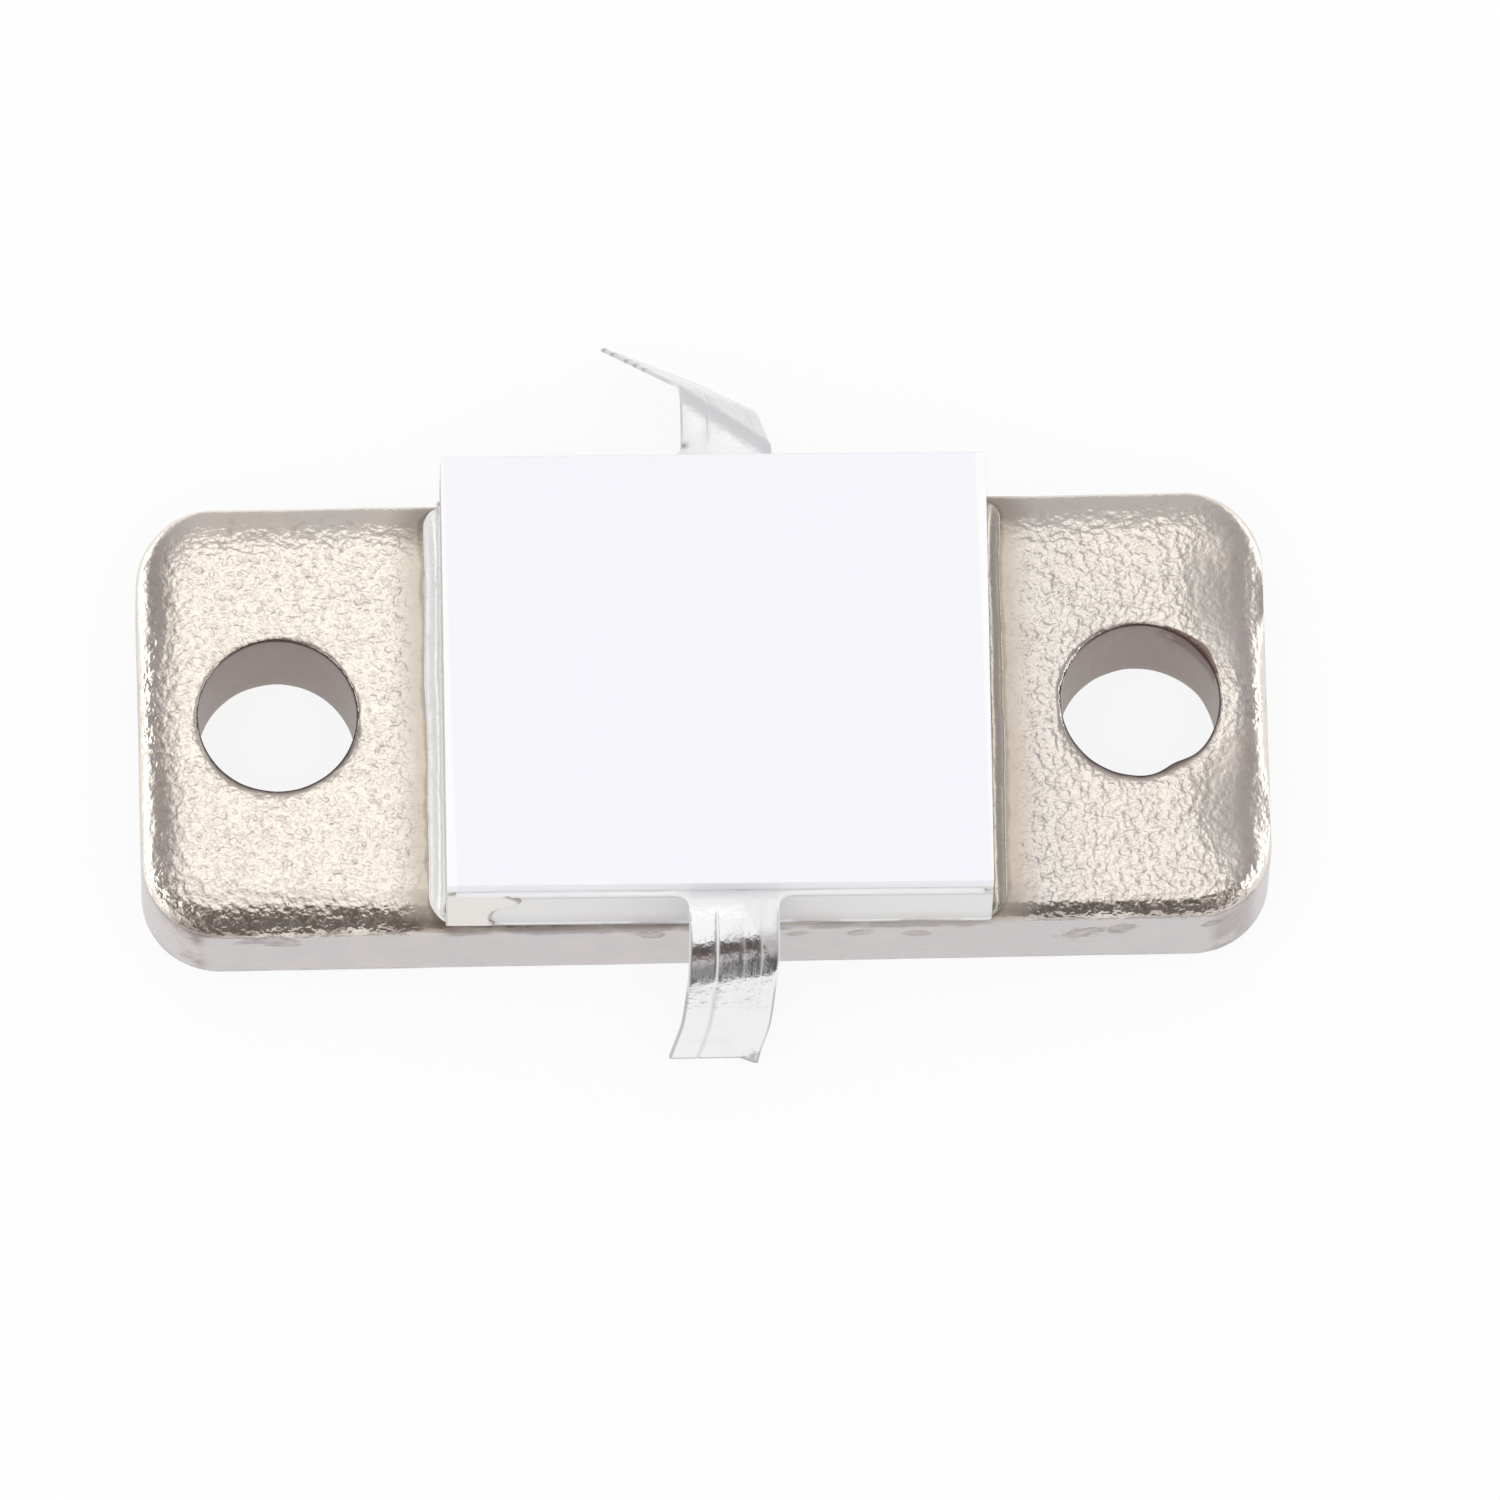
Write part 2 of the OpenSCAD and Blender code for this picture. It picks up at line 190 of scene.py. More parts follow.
class StageSettings(bpy.types.PropertyGroup):
    """The camera's place, the lamp, the cards and the floor."""

    camera_turn: turn("Camera turn", "Camera's angle to the left of straight in front", 4.5162)
    camera_height: turn("Camera height", "Camera's angle above the floor", 70.4743)
    camera_roll: turn("Camera roll", "Camera's roll", -3.1943)
    camera_distance: length("Camera distance", "From the camera to the flange's middle", 831.9)
    aim_right: length("Aim right", "How far the picture's middle lies right of the flange's", 1.08456)
    aim_up: length("Aim up", "How far the picture's middle lies above the flange's", 0.05693)
    picture_width: length("Picture width", "Width that the picture shows at the flange", 33.2951)
    lamp_radius: length("Lamp radius", "Radius of the round lamp overhead", 700)
    lamp_height: length("Lamp height", "Height of the lamp", 1200)
    lamp_level: number("Lamp level", "Brightness of the lamp's face", 1.15)
    sky_level: number("Sky level", "Brightness of the room on dull surfaces", 0.73)
    card_height: length("Card height", "Height of the cards close round the flange", 14)
    tent_radius: length("Tent radius", "Radius of the light tent over the object", 150)
    window_level: number("Window level", "Brightness of the tent's brightest part", 1.46)
    floor_glow: number("Floor glow", "How much of the floor's white is its own", 0.87)


GROUPS = {
    "resistor_flange": FlangeSizes,
    "resistor_ceramic": CeramicSizes,
    "resistor_solder": SolderSizes,
    "resistor_leads": LeadSizes,
    "resistor_glue": GlueSizes,
    "resistor_finishes": Finishes,
    "resistor_stage": StageSettings,
}


class Value:
    """An output socket of a node tree. Arithmetic on it adds Math nodes."""

    def __init__(self, graph, socket):
        self.graph = graph
        self.socket = socket

    def __add__(self, other):
        return self.graph.math("ADD", self, other)

    def __sub__(self, other):
        return self.graph.math("SUBTRACT", self, other)

    def __rsub__(self, other):
        return self.graph.math("SUBTRACT", other, self)

    def __mul__(self, other):
        return self.graph.math("MULTIPLY", self, other)

    def __truediv__(self, other):
        return self.graph.math("DIVIDE", self, other)

    def __neg__(self):
        return self.graph.math("MULTIPLY", self, -1.0)

    def __abs__(self):
        return self.graph.math("ABSOLUTE", self)

    __radd__ = __add__
    __rmul__ = __mul__


class Graph:
    """A node tree that is built by calls. It starts empty."""

    def __init__(self, tree):
        self.tree = tree
        tree.nodes.clear()

    def node(self, kind, settings=None, inputs=None, output=0):
        """Adds a node with its settings and the values or links of its sockets, and returns one output."""
        made = self.tree.nodes.new(kind)
        for name, value in (settings or {}).items():
            setattr(made, name, value)
        for key, value in (inputs or {}).items():
            if isinstance(value, Value):
                self.tree.links.new(value.socket, made.inputs[key])
            else:
                made.inputs[key].default_value = value
        return Value(self, made.outputs[output]) if made.outputs else made

    def math(self, operation, *values):
        """One Math node."""
        return self.node("ShaderNodeMath", {"operation": operation}, dict(enumerate(values)))

    def most(self, one, other):
        """The larger of two values."""
        return self.math("MAXIMUM", one, other)

    def mix(self, share, one, other):
        """A colour between two, each a link or three numbers."""
        one, other = [c if isinstance(c, Value) else (*c, 1.0) for c in (one, other)]
        return self.node("ShaderNodeMix", {"data_type": "RGBA"}, {0: share, 6: one, 7: other}, output=2)

    def coats(self, tone, *others):
        """A colour with others laid over it, the lowest first, each with its share."""
        for share, other in others:
            tone = self.mix(share, tone, other)
        return tone

    def smooth(self, value, low, high):
        """0 at low, 1 at high and a smooth change between."""
        inputs = {"Value": value, "From Min": low, "From Max": high}
        return self.node("ShaderNodeMapRange", {"interpolation_type": "SMOOTHSTEP"}, inputs)

    def edge(self, value, low, high):
        """The same for a place on the piece, with low and high in millimetres."""
        return self.smooth(value, low * MM, high * MM)

    def noise(self, place, wide, detail=2.0, roughness=0.5):
        """Noise whose blobs are about so many millimetres wide."""
        inputs = {"Vector": place, "Scale": 0.5 / (wide * MM), "Detail": detail, "Roughness": roughness}
        return self.node("ShaderNodeTexNoise", inputs=inputs)

    def drawn_out(self, ribbon, across, along, detail):
        """Noise with so many waves to the millimetre across and along a ribbon."""
        scaled = self.node("ShaderNodeMapping", inputs={"Vector": ribbon, "Scale": (across, along, 1.0)})
        return self.node("ShaderNodeTexNoise", inputs={"Vector": scaled, "Scale": 1.0, "Detail": detail})

    def parts(self, vector):
        """The three parts of a vector."""
        first = self.node("ShaderNodeSeparateXYZ", inputs={0: vector})
        return [Value(self, socket) for socket in first.socket.node.outputs]

    def attribute(self, name):
        """A number that the mesh carries at its points."""
        return self.node("ShaderNodeAttribute", {"attribute_name": name}, output="Fac")

    def bump(self, height, deep):
        """A normal bent by a height from 0 to 1 over so many millimetres."""
        return self.node("ShaderNodeBump", inputs={"Height": height, "Distance": deep * MM, "Strength": 1.0})


def new_material(name):
    """A material and its empty graph."""
    material = bpy.data.materials.new(name)
    material.use_nodes = True
    return material, Graph(material.node_tree)


def finish(name, inputs_of):
    """A material whose shader takes what inputs_of(graph, place, colours) returns.

    The place is a point on the piece, in the frame that the whole object shares.
    """
    material, graph = new_material(name)
    place = graph.node("ShaderNodeTexCoord", output="Object")
    inputs = inputs_of(graph, place, bpy.context.scene.resistor_finishes)
    surface = graph.node("ShaderNodeBsdfPrincipled", inputs=inputs)
    graph.node("ShaderNodeOutputMaterial", inputs={"Surface": surface})
    return material


# The looks that each point of the flange carries; the fourth is painted shade on the front roll and on part
# of the right hole's rim.
FLANGE_LOOKS = ("smooth", "side", "bore", "painted_shade", "rolled")


def nickel_finish(graph, place, colours):
    """Tumbled nickel: a pebbled grain, smoother where it was pressed, dull in the holes, stained. Shade is
    painted on the hole walls, the upright sides, the front roll, the back right of the right hole's rim and
    a line under the ceramic's edges, and the right ear is darker.
    """
    x, y, _ = graph.parts(place)
    smooth, side, bore, painted_shade, rolled = [graph.attribute(name) for name in FLANGE_LOOKS]
    grain = graph.noise(place, 0.105, 1.3, 0.4)
    fine = graph.noise(place, 0.06, 1.0)
    cloud = graph.noise(place, 1.3, 3.0)
    patches = graph.noise(place, 0.5, 3.0)
    outline, inside = side_marks(graph, place)
    pebbled = (grain * 0.85 + fine * 0.55) * (1.0 - smooth * 0.9) * (1.0 + rolled)
    height = pebbled + patches * smooth * 0.3 - outline * 0.5
    pits = graph.smooth(grain, 0.45, 0.3) * (1.0 - smooth)
    # Darker over the right ear, most just right of the ceramic.
    right_ear_darkening = graph.edge(x, 4, 7) * (0.2 + graph.edge(x, 9, 6.6) * 0.3)
    stain, toe = solder_halo(graph, place)
    wetted = stain * graph.edge(-y, 4.1, 4.4)
    # Painted shade: the dark line under the ceramic's front and back edges, in patches.
    dried = shade_under_chip_edge(graph, place) * graph.smooth(patches, 0.3, 0.5)
    # Painted shade: dark patches on the front roll and on the back right of the right hole's rim.
    painted_shade = graph.math("MINIMUM", painted_shade * graph.smooth(patches, 0.38, 0.62) * 0.7, 0.9)
    tone = graph.coats(
        colours.nickel,
        (graph.smooth(cloud, 0.35, 0.7) * 0.35, (0.81, 0.76, 0.72)),
        (pits * 0.35, (0.52, 0.44, 0.37)),
        (right_ear_darkening, (0.55, 0.52, 0.52)),
        (stain, colours.stain),
        (toe * 0.6, (0.30, 0.25, 0.20)),
        # Painted shade on the upright sides, in their rubbed tint.
        (side * (0.75 + patches * 0.4), colours.rubbed_and_shaded_side),
        (inside * patches, (0.36, 0.32, 0.31)),
        (outline * graph.smooth(grain, 0.35, 0.6) * 0.6, (0.26, 0.23, 0.22)),
        (dried * 0.75, (0.30, 0.27, 0.26)),
        # Painted shade: the hole walls are coloured dark.
        (bore, graph.mix(cloud, colours.bore, (0.33, 0.27, 0.25))),
        (painted_shade, (0.17, 0.10, 0.09)),
    )
    return {
        "Base Color": tone,
        "Metallic": 1.0 - graph.most(wetted * 0.6, painted_shade * 0.3),
        "Roughness": 0.17 + grain * 0.08 + bore * 0.2 + side * 0.08,
        "Normal": graph.bump(height, 0.042),
    }


# Marks on the flange's front side, in millimetres: each one's middle along the flange and up, its half
# length and half height, and its lean in degrees
SIDE_MARKS = [
    (-9.7, 2.15, 0.8, 0.3, 3),
    (-9.5, 1.95, 0.55, 0.2, -6),
    (-1.25, 2.1, 0.4, 0.3, -8),
    (1.9, 2.0, 0.35, 0.16, 10),
    (3.3, 2.0, 0.3, 0.22, 20),
    (4.6, 1.9, 0.35, 0.2, 5),
    (8.35, 1.75, 0.65, 0.38, 24),
    (9.15, 1.95, 0.6, 0.3, 38),
    (11.1, 2.05, 0.26, 0.22, 0),
]


def side_marks(graph, place):
    """Where the front side is scratched: the outlines of the marks, and what lies inside them."""
    x, y, z = graph.parts(place)
    wobble = graph.noise(place, 0.2, 4.0) - 0.5
    broken = graph.smooth(wobble, -0.1, 0.1)
    outlines = inside = 0.0
    for along, up, half_length, half_height, lean in SIDE_MARKS:
        cosine, sine = math.cos(math.radians(lean)), math.sin(math.radians(lean))
        right, above = x - along * MM, z - up * MM
        far = (right * cosine + above * sine) / (half_length * MM)
        high = (above * cosine - right * sine) / (half_height * MM)
        reach = graph.math("SQRT", far * far + high * high) + wobble * 2.2
        mark = graph.smooth(reach, 1.0, 0.7)
        inside = graph.most(inside, mark)
        outlines = graph.most(outlines, mark * graph.smooth(reach, 0.3, 0.8) * broken)
    in_front = graph.edge(-y, 4.6, 4.85)
    return outlines * in_front, inside * in_front


def solder_halo(graph, place):
    """Where the solder has stained the plating round it, and the dark line at its toe."""
    solder = bpy.context.scene.resistor_solder
    half_x = bpy.context.scene.resistor_ceramic.width / 2 + solder.reach - solder.corner
    half_y = FLANGE_HIGH.y - solder.setback - solder.corner
    x, y, z = graph.parts(place)
    past_x = graph.most(abs(x - CHIP_MIDDLE.x) - half_x, 0.0)
    past_y = graph.most(abs(y) - half_y, 0.0)
    beyond = graph.math("SQRT", past_x * past_x + past_y * past_y) - solder.corner
    beyond = beyond + (graph.noise(place, 0.45, 3.0) - 0.5) * 0.3 * MM
    on_top = graph.edge(z, 2.3, 2.5)
    stain = graph.edge(beyond, 0.9, 0.1) * (0.85 + graph.edge(x, -1, 1) * 0.15)
    toe = graph.edge(beyond, -0.06, 0.01) * graph.edge(beyond, 0.12, 0.04)
    return stain * on_top, toe * on_top


def shade_under_chip_edge(graph, place):
    """Where shade is painted as a dark line under the ceramic's front and back edges."""
    x, y, z = graph.parts(place)
    beside = graph.edge(abs(x - CHIP_MIDDLE.x), 6.2, 5.9)
    wave = graph.noise(place, 0.3, 3.0) * 0.35 * MM
    return graph.edge(abs(y), 4.7, 4.85) * beside * graph.edge(z + wave, 2.4, 2.56)


def solder_finish(graph, place, colours):
    """Bright solder under a milky, fluxed skin, tan at the right, with painted shade in patches along its
    front under the ceramic's edge.
    """
    x, y, z = graph.parts(place)
    streak = graph.smooth(graph.noise(place, 0.16), 0.56, 0.7)
    # Painted shade under the ceramic's front edge, in patches.
    patchy_edge_shade = shade_under_chip_edge(graph, place) * graph.smooth(graph.noise(place, 0.2, 3.0), 0.4, 0.55)
    right = graph.edge(x, 3, 5) * graph.edge(z, 4, 3.6)
    tone = graph.coats(
        colours.solder,
        (streak * 0.3, (0.66, 0.66, 0.60)),
        (right * 0.85, (0.50, 0.45, 0.37)),
        (patchy_edge_shade * graph.edge(y, 1, 0) * 0.9, (0.22, 0.19, 0.17)),
    )
    return {
        "Base Color": tone,
        "Metallic": 0.24 - graph.edge(z, 3.15, 3.3) * 0.2 + right * 0.6,
        "Roughness": 0.24 + streak * 0.18,
        "Normal": graph.bump(graph.noise(place, 0.3), 0.04),
    }


def fired_metal_finish(graph, place, colours):
    """Silver fired on the ceramic, with a fine printed grain."""
    grain = graph.noise(place, 0.05)
    return {
        "Base Color": graph.mix(grain * 0.4, colours.fired_metal, (0.62, 0.6, 0.58)),
        "Metallic": 1.0,
        "Roughness": 0.35 + grain * 0.1,
        "Normal": graph.bump(grain, 0.006),
    }


def ceramic_finish(graph, place, colours):
    """The sawn ceramic body: matte, with faint clouds and a fine grain. Shade is painted on it: the front
    face darkens towards its foot, with a dark line along the front's lower edge and a darker band round the
    top of its sides.
    """
    _, y, z = graph.parts(place)
    cloud = graph.noise(place, 0.8, 3.0)
    grain = graph.noise(place, 0.04)
    in_front = graph.edge(-y, 4.4, 4.9)
    # Painted shade: the front face darkens towards its foot.
    foot = graph.edge(z + cloud * 0.5 * MM, 4.2, 3.2) * in_front
    line = z + (cloud - 0.5) * 0.25 * MM
    wetted = graph.edge(line, 3.3, 3.24) * graph.smooth(cloud, 0.42, 0.5)
    # Painted shade: a dark line along the front's lower edge and a darker band round the top of the sides.
    shaded = graph.most(graph.edge(line, 3.16, 3.11) * in_front, graph.edge(z, 4.78, 4.84) * 0.35)
    tone = graph.coats(
        colours.ceramic,
        (cloud * 0.3, (0.78, 0.78, 0.765)),
        (foot * 0.65, (0.58, 0.565, 0.555)),
        (wetted * 0.8, (0.93, 0.93, 0.92)),
        (shaded * 0.8, (0.36, 0.33, 0.30)),
    )
    return {"Base Color": tone, "Roughness": 0.5 + grain * 0.15, "Normal": graph.bump(grain, 0.004)}


def film_finish(graph, place, colours):
    """The printed resistor film, with the weave that the screen left."""
    x, y, _ = graph.parts(place)
    step = 2 * math.pi / (0.12 * MM)
    weave = graph.math("SINE", x * step) * graph.math("SINE", y * step) * 0.5 + 0.5
    return {
        "Base Color": graph.mix(weave * 0.3, colours.film, (0.16, 0.15, 0.16)),
        "Roughness": 0.55 + weave * 0.1,
        "Normal": graph.bump(weave, 0.003),
    }


def glass_finish(graph, place, colours):
    """The green glass fired over the film."""
    ripple = graph.noise(place, 0.5)
    return {
        "Base Color": graph.mix(ripple * 0.4, colours.glass, (0.1, 0.27, 0.16)),
        "Roughness": 0.12 + ripple * 0.1,
        "Coat Weight": 0.5,
        "Normal": graph.bump(ripple, 0.01),
    }


RIBBON_LOOKS = ("sheared", "dull", "scores_and_highlight")


def silver_finish(graph, place, colours):
    """Rolled silver ribbon: fine lines along it, small dents and rubbed patches, and a painted highlight
    where the score lines and side edges are made dull white.
    """
    sheared, dull, scores_and_highlight = [graph.attribute(name) for name in RIBBON_LOOKS]
    ribbon = graph.node("ShaderNodeUVMap", {"uv_map": "ribbon"})
    line = graph.drawn_out(ribbon, 14.0, 0.35, 4.0)
    streak = graph.smooth(graph.drawn_out(ribbon, 2.6, 0.22, 3.0), 0.46, 0.62)
    dents = graph.noise(place, 0.1, 3.0)
    rubbed = graph.smooth(graph.noise(place, 0.6, 3.0), 0.5, 0.72)
    tone = graph.coats(
        colours.silver,
        (rubbed * 0.4, (0.80, 0.79, 0.81)),
        (dull * 0.7, (0.82, 0.82, 0.825)),
        # Painted highlight: the score lines and side edges turn dull white.
        (scores_and_highlight, (0.88, 0.88, 0.885)),
        (sheared, colours.sheared),
    )
    return {
        "Base Color": tone,
        "Metallic": 1.0 - graph.most(dull * 0.4, scores_and_highlight * 0.9),
        "Roughness": 0.12 + rubbed * 0.08 + dull * 0.16 + streak * 0.05,
        "Normal": graph.bump(line * 0.15 + dents * 0.6, 0.024),
    }


def glue_finish(graph, place, colours):
    """Dried glue: pale and faintly cloudy, with painted shade at the dried run's broken edge."""
    cloud = graph.noise(place, 0.5, 3.0)
    cloudy = graph.mix(cloud * 0.3, colours.glue, (0.90, 0.87, 0.84))
    return {
        "Base Color": graph.mix(graph.attribute("edge"), cloudy, colours.run_edge_shade),
        "Roughness": 0.35 + cloud * 0.15,
        "Normal": graph.bump(cloud, 0.01),
    }


def cover_finish(graph, place, colours):
    """The white cover: matte, with a painted highlight along its left and right edges, and a few dark
    specks.
    """
    x, y, _ = graph.parts(place)
    cloud = graph.noise(place, 1.6, 3.0)
    grain = graph.noise(place, 0.05)
    cells = {"Vector": place, "Scale": 1.0 / (2.6 * MM), "Randomness": 1.0}
    speck = graph.node("ShaderNodeTexVoronoi", {"voronoi_dimensions": "3D"}, cells, output="Distance")
    from_middle = abs(x - CHIP_MIDDLE.x + y * 0.0091)
    tone = graph.coats(
        colours.cover,
        (graph.smooth(cloud, 0.3, 0.7) * 0.5, (0.90, 0.90, 0.955)),
        # Painted highlight: a paler band along the left and right edges.
        (graph.edge(from_middle, 5.84, 5.93) * 0.9, (0.98, 0.98, 0.99)),
        (graph.smooth(speck, 0.02, 0.012) * 0.6, (0.45, 0.44, 0.46)),
    )
    return {
        "Base Color": tone,
        "Roughness": 0.55 + grain * 0.15,
        "Specular IOR Level": 0.35,
        "Normal": graph.bump(grain, 0.003),
    }


def new_piece(name, points, faces, material, smooth=True):
    """A mesh object at the origin with its place in its points."""
    mesh = bpy.data.meshes.new(name)
    mesh.from_pydata([tuple(p) for p in points], [], faces)
    mesh.update()
    mesh.materials.append(material)
    if smooth:
        mesh.shade_smooth()
    piece = bpy.data.objects.new(name, mesh)
    bpy.context.scene.collection.objects.link(piece)
    return piece


def set_numbers(piece, name, values):
    """Gives a piece one number at each of its points."""
    attribute = piece.data.attributes.new(name, "FLOAT", "POINT")
    attribute.data.foreach_set("value", values)


def join_frame(piece, slot, *nodes):
    """The piece rides on the body and stands for its CAD nodes, which it hides. The slot is not used."""
    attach(piece, "root")
    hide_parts(*nodes)


def dress_nodes(material, *nodes):
    """Gives CAD nodes their finish."""
    for node in nodes:
        mesh = frame["nodes"][node].data
        mesh.materials.clear()
        mesh.materials.append(material)


def numbered(count, rows, first=0):
    """Numbers of points that were made in rows of so many."""
    return [[first + row * count + k for k in range(count)] for row in range(rows)]


def skin(rows, closed=True, turned=False):
    """Faces between rows of point numbers. They face outwards where closed rows run anticlockwise and up."""
    faces = []
    for lower, upper in zip(rows, rows[1:]):
        if closed:
            lower, upper = [*lower, lower[0]], [*upper, upper[0]]
        for k in range(len(lower) - 1):
            face = (lower[k], lower[k + 1], upper[k + 1], upper[k])
            faces.append(face[::-1] if turned else face)
    return faces


def solid_faces(count, rows, first=0):
    """Faces of a solid whose points were made in closed rows of so many, from its foot up."""
    rings = numbered(count, rows, first)
    return skin(rings) + [rings[0][::-1], rings[-1]]


def clamp(value, low, high):
    """The value, held between low and high."""
    return min(max(value, low), high)


def rise(value, start, end):
    """0 at start, 1 at end and a smooth change between."""
    share = clamp((value - start) / (end - start), 0.0, 1.0)
    return share * share * (3 - 2 * share)


def band(value, start, full, late, end):
    """A smooth rise from start to full and a smooth fall from late to end."""
    return rise(value, start, full) * rise(value, end, late)


def bell(far, half):
    """1 in the middle, falling to nothing well beyond half."""
    return math.exp(-((far / half) ** 2))


def between(one, other, share):
    """The point or number at that share of the way."""
    return one + (other - one) * share


def waves(x, y, layer, wide, high=None):
    """Noise from -1 to 1 over a plane, in blobs about so many millimetres wide and high."""
    return noise.noise(Vector((x / (wide * MM), y / ((high or wide) * MM), layer)))


def quarter(share):
    """Sine and cosine of that share of a quarter turn."""
    return math.sin(QUARTER * share), math.cos(QUARTER * share)


def rounded_outline(half_x, half_y, radius, step):
    """Points and outward directions round a rectangle with round corners, anticlockwise."""
    stations = []
    for corner, (side_x, side_y) in enumerate([(1, 1), (-1, 1), (-1, -1), (1, -1)]):
        centre = Vector((side_x * (half_x - radius), side_y * (half_y - radius)))
        pieces = max(4, math.ceil(radius * QUARTER / step))
        for k in range(pieces + 1):
            sine, cosine = quarter(corner + k / pieces)
            outward = Vector((cosine, sine))
            stations.append((centre + radius * outward, outward))
        run = 2 * ((half_x if corner % 2 == 0 else half_y) - radius)
        start, outward = stations[-1]
        along = Vector((-outward.y, outward.x))
        pieces = max(1, round(run / step))
        stations += [(start + along * run * k / pieces, outward) for k in range(1, pieces)]
    return stations


class OnChip:
    """The ceramic's own place on the flange: its middle and its turn."""

    def __init__(self, ceramic):
        self.middle = CHIP_MIDDLE.xy
        self.cosine, self.sine = math.cos(ceramic.turn), math.sin(ceramic.turn)
        self.matrix = Matrix.Translation((*self.middle, 0)) @ Matrix.Rotation(ceramic.turn, 4, "Z")

    def to_chip(self, x, y):
        """A place on the flange, as the ceramic sees it."""
        x, y = x - self.middle.x, y - self.middle.y
        return x * self.cosine + y * self.sine, y * self.cosine - x * self.sine

    def to_flange(self, x, y):
        """A place on the ceramic, as the flange sees it."""
        right, up = x * self.cosine - y * self.sine, x * self.sine + y * self.cosine
        return self.middle.x + right, self.middle.y + up


# Corners of the ears that were knocked down: where the slope starts and ends along the flange, its middle
# and half width across it, and how far down it goes, in millimetres
SLOPES = [
    (10.1, 12.3, 2.55, 1.4, 0.38),
    (10.3, 12.3, -2.5, 1.35, 0.34),
    (-11.2, -12.4, 2.6, 1.3, 0.12),
    (-11.2, -12.4, -2.4, 1.5, 0.12),
]


class FlangeForm:
    """The flange's surface: a rounded bar with rolled edges, soft lumps and pressed hollows."""

    def __init__(self, sizes):
        self.sizes = sizes

    def roll_at(self, x, outward):
        """How far in and how far down the upper edge's roll reaches at that place on the outline."""
        sizes = self.sizes
        front = between(sizes.front_left_round, sizes.front_right_round, rise(x, -4 * MM, 5 * MM))
        front_run = front * between(1.5, 1.0, rise(x, -11.5 * MM, -1 * MM))
        side_run, side_drop = (front_run, front) if outward.y < 0 else (sizes.back_run, sizes.back_drop)
        end_run = sizes.left_run if x < 0 else sizes.right_run
        across = outward.y * outward.y
        waver = 1 + 0.1 * noise.noise(Vector((x / (1.7 * MM), outward.y, 3.1)))
        return between(end_run, side_run, across) * waver, between(sizes.end_drop, side_drop, across) * waver

    def wear(self, place):
        """Depth of the soft lumps at a point."""
        large = noise.noise(place / (1.5 * MM))
        small = noise.noise(place / (0.55 * MM) + Vector((7.3, 1.9, 4.4)))
        return self.sizes.lumps * (0.5 + 0.5 * large + 0.22 * (0.5 + 0.5 * small))

    def hollow(self, x, y):
        """How far down the knocked corners go at a place of the upper face."""
        depth = 0.0
        for start, end, middle, half, deep in SLOPES:
            along = clamp((x / MM - start) / (end - start), 0.0, 1.1)
            depth += deep * MM * along * along * bell(y / MM - middle, half)
        return depth

    def settle(self, place, normal):
        """Where an ideal point lies on the worn flange."""
        moved = place - normal * self.wear(place) * (0.4 + 0.6 * abs(normal.z))
        moved.z -= self.hollow(place.x, place.y) * max(0.0, normal.z)
        return moved

    def edge_near(self, x, y):
        """The outward direction of the nearest edge in plan, and how far in from it the place lies."""
        radius = self.sizes.corner
        past_x = abs(x) - (FLANGE_HIGH.x - radius)
        past_y = abs(y) - (FLANGE_HIGH.y - radius)
        if past_x > 0 and past_y > 0:
            outward = Vector((math.copysign(past_x, x), math.copysign(past_y, y)))
            return outward.normalized(), radius - outward.length
        if past_x > past_y:
            return Vector((math.copysign(1.0, x), 0.0)), radius - past_x
        return Vector((0.0, math.copysign(1.0, y))), radius - past_y

    def height(self, x, y):
        """Height of the worn upper surface at a place in plan."""
        outward, inset = self.edge_near(x, y)
        run, drop = self.roll_at(x + outward.x * inset, outward)
        share = clamp((run - inset) / run, 0.0, 0.999)
        fall = math.sqrt(1 - share * share)
        normal = Vector((outward.x * share * drop, outward.y * share * drop, fall * run)).normalized()
        return self.settle(Vector((x, y, FLANGE_HIGH.z - drop * (1 - fall))), normal).z


def inside_outline(spot, outline):
    """Whether a place in plan lies inside a closed line of points."""
    if (spot - outline[0]).length > 5 * MM:
        return False
    inside = False
    for one, other in zip(outline, outline[1:] + outline[:1]):
        if (one.y > spot.y) != (other.y > spot.y):
            if spot.x < one.x + (other.x - one.x) * (spot.y - one.y) / (other.y - one.y):
                inside = not inside
    return inside


# Rows of points over the lower round, the side, the roll, a hole's rim and its wall, and points round a hole
ROUND_ROWS = 4
SIDE_ROWS = 9
ROLL_ROWS = 18
RIM_ROWS = 8
WALL_ROWS = 10
HOLE_POINTS = 168
# Flaws of the right hole's rim: angle round the hole and half width in degrees, then in millimetres how far
# the wall stands in and the extra round
RIM_FLAWS = [(-64, 13, 0.12, 0.0), (38, 10, 0.0, 0.1), (150, 30, 0.0, 0.05)]


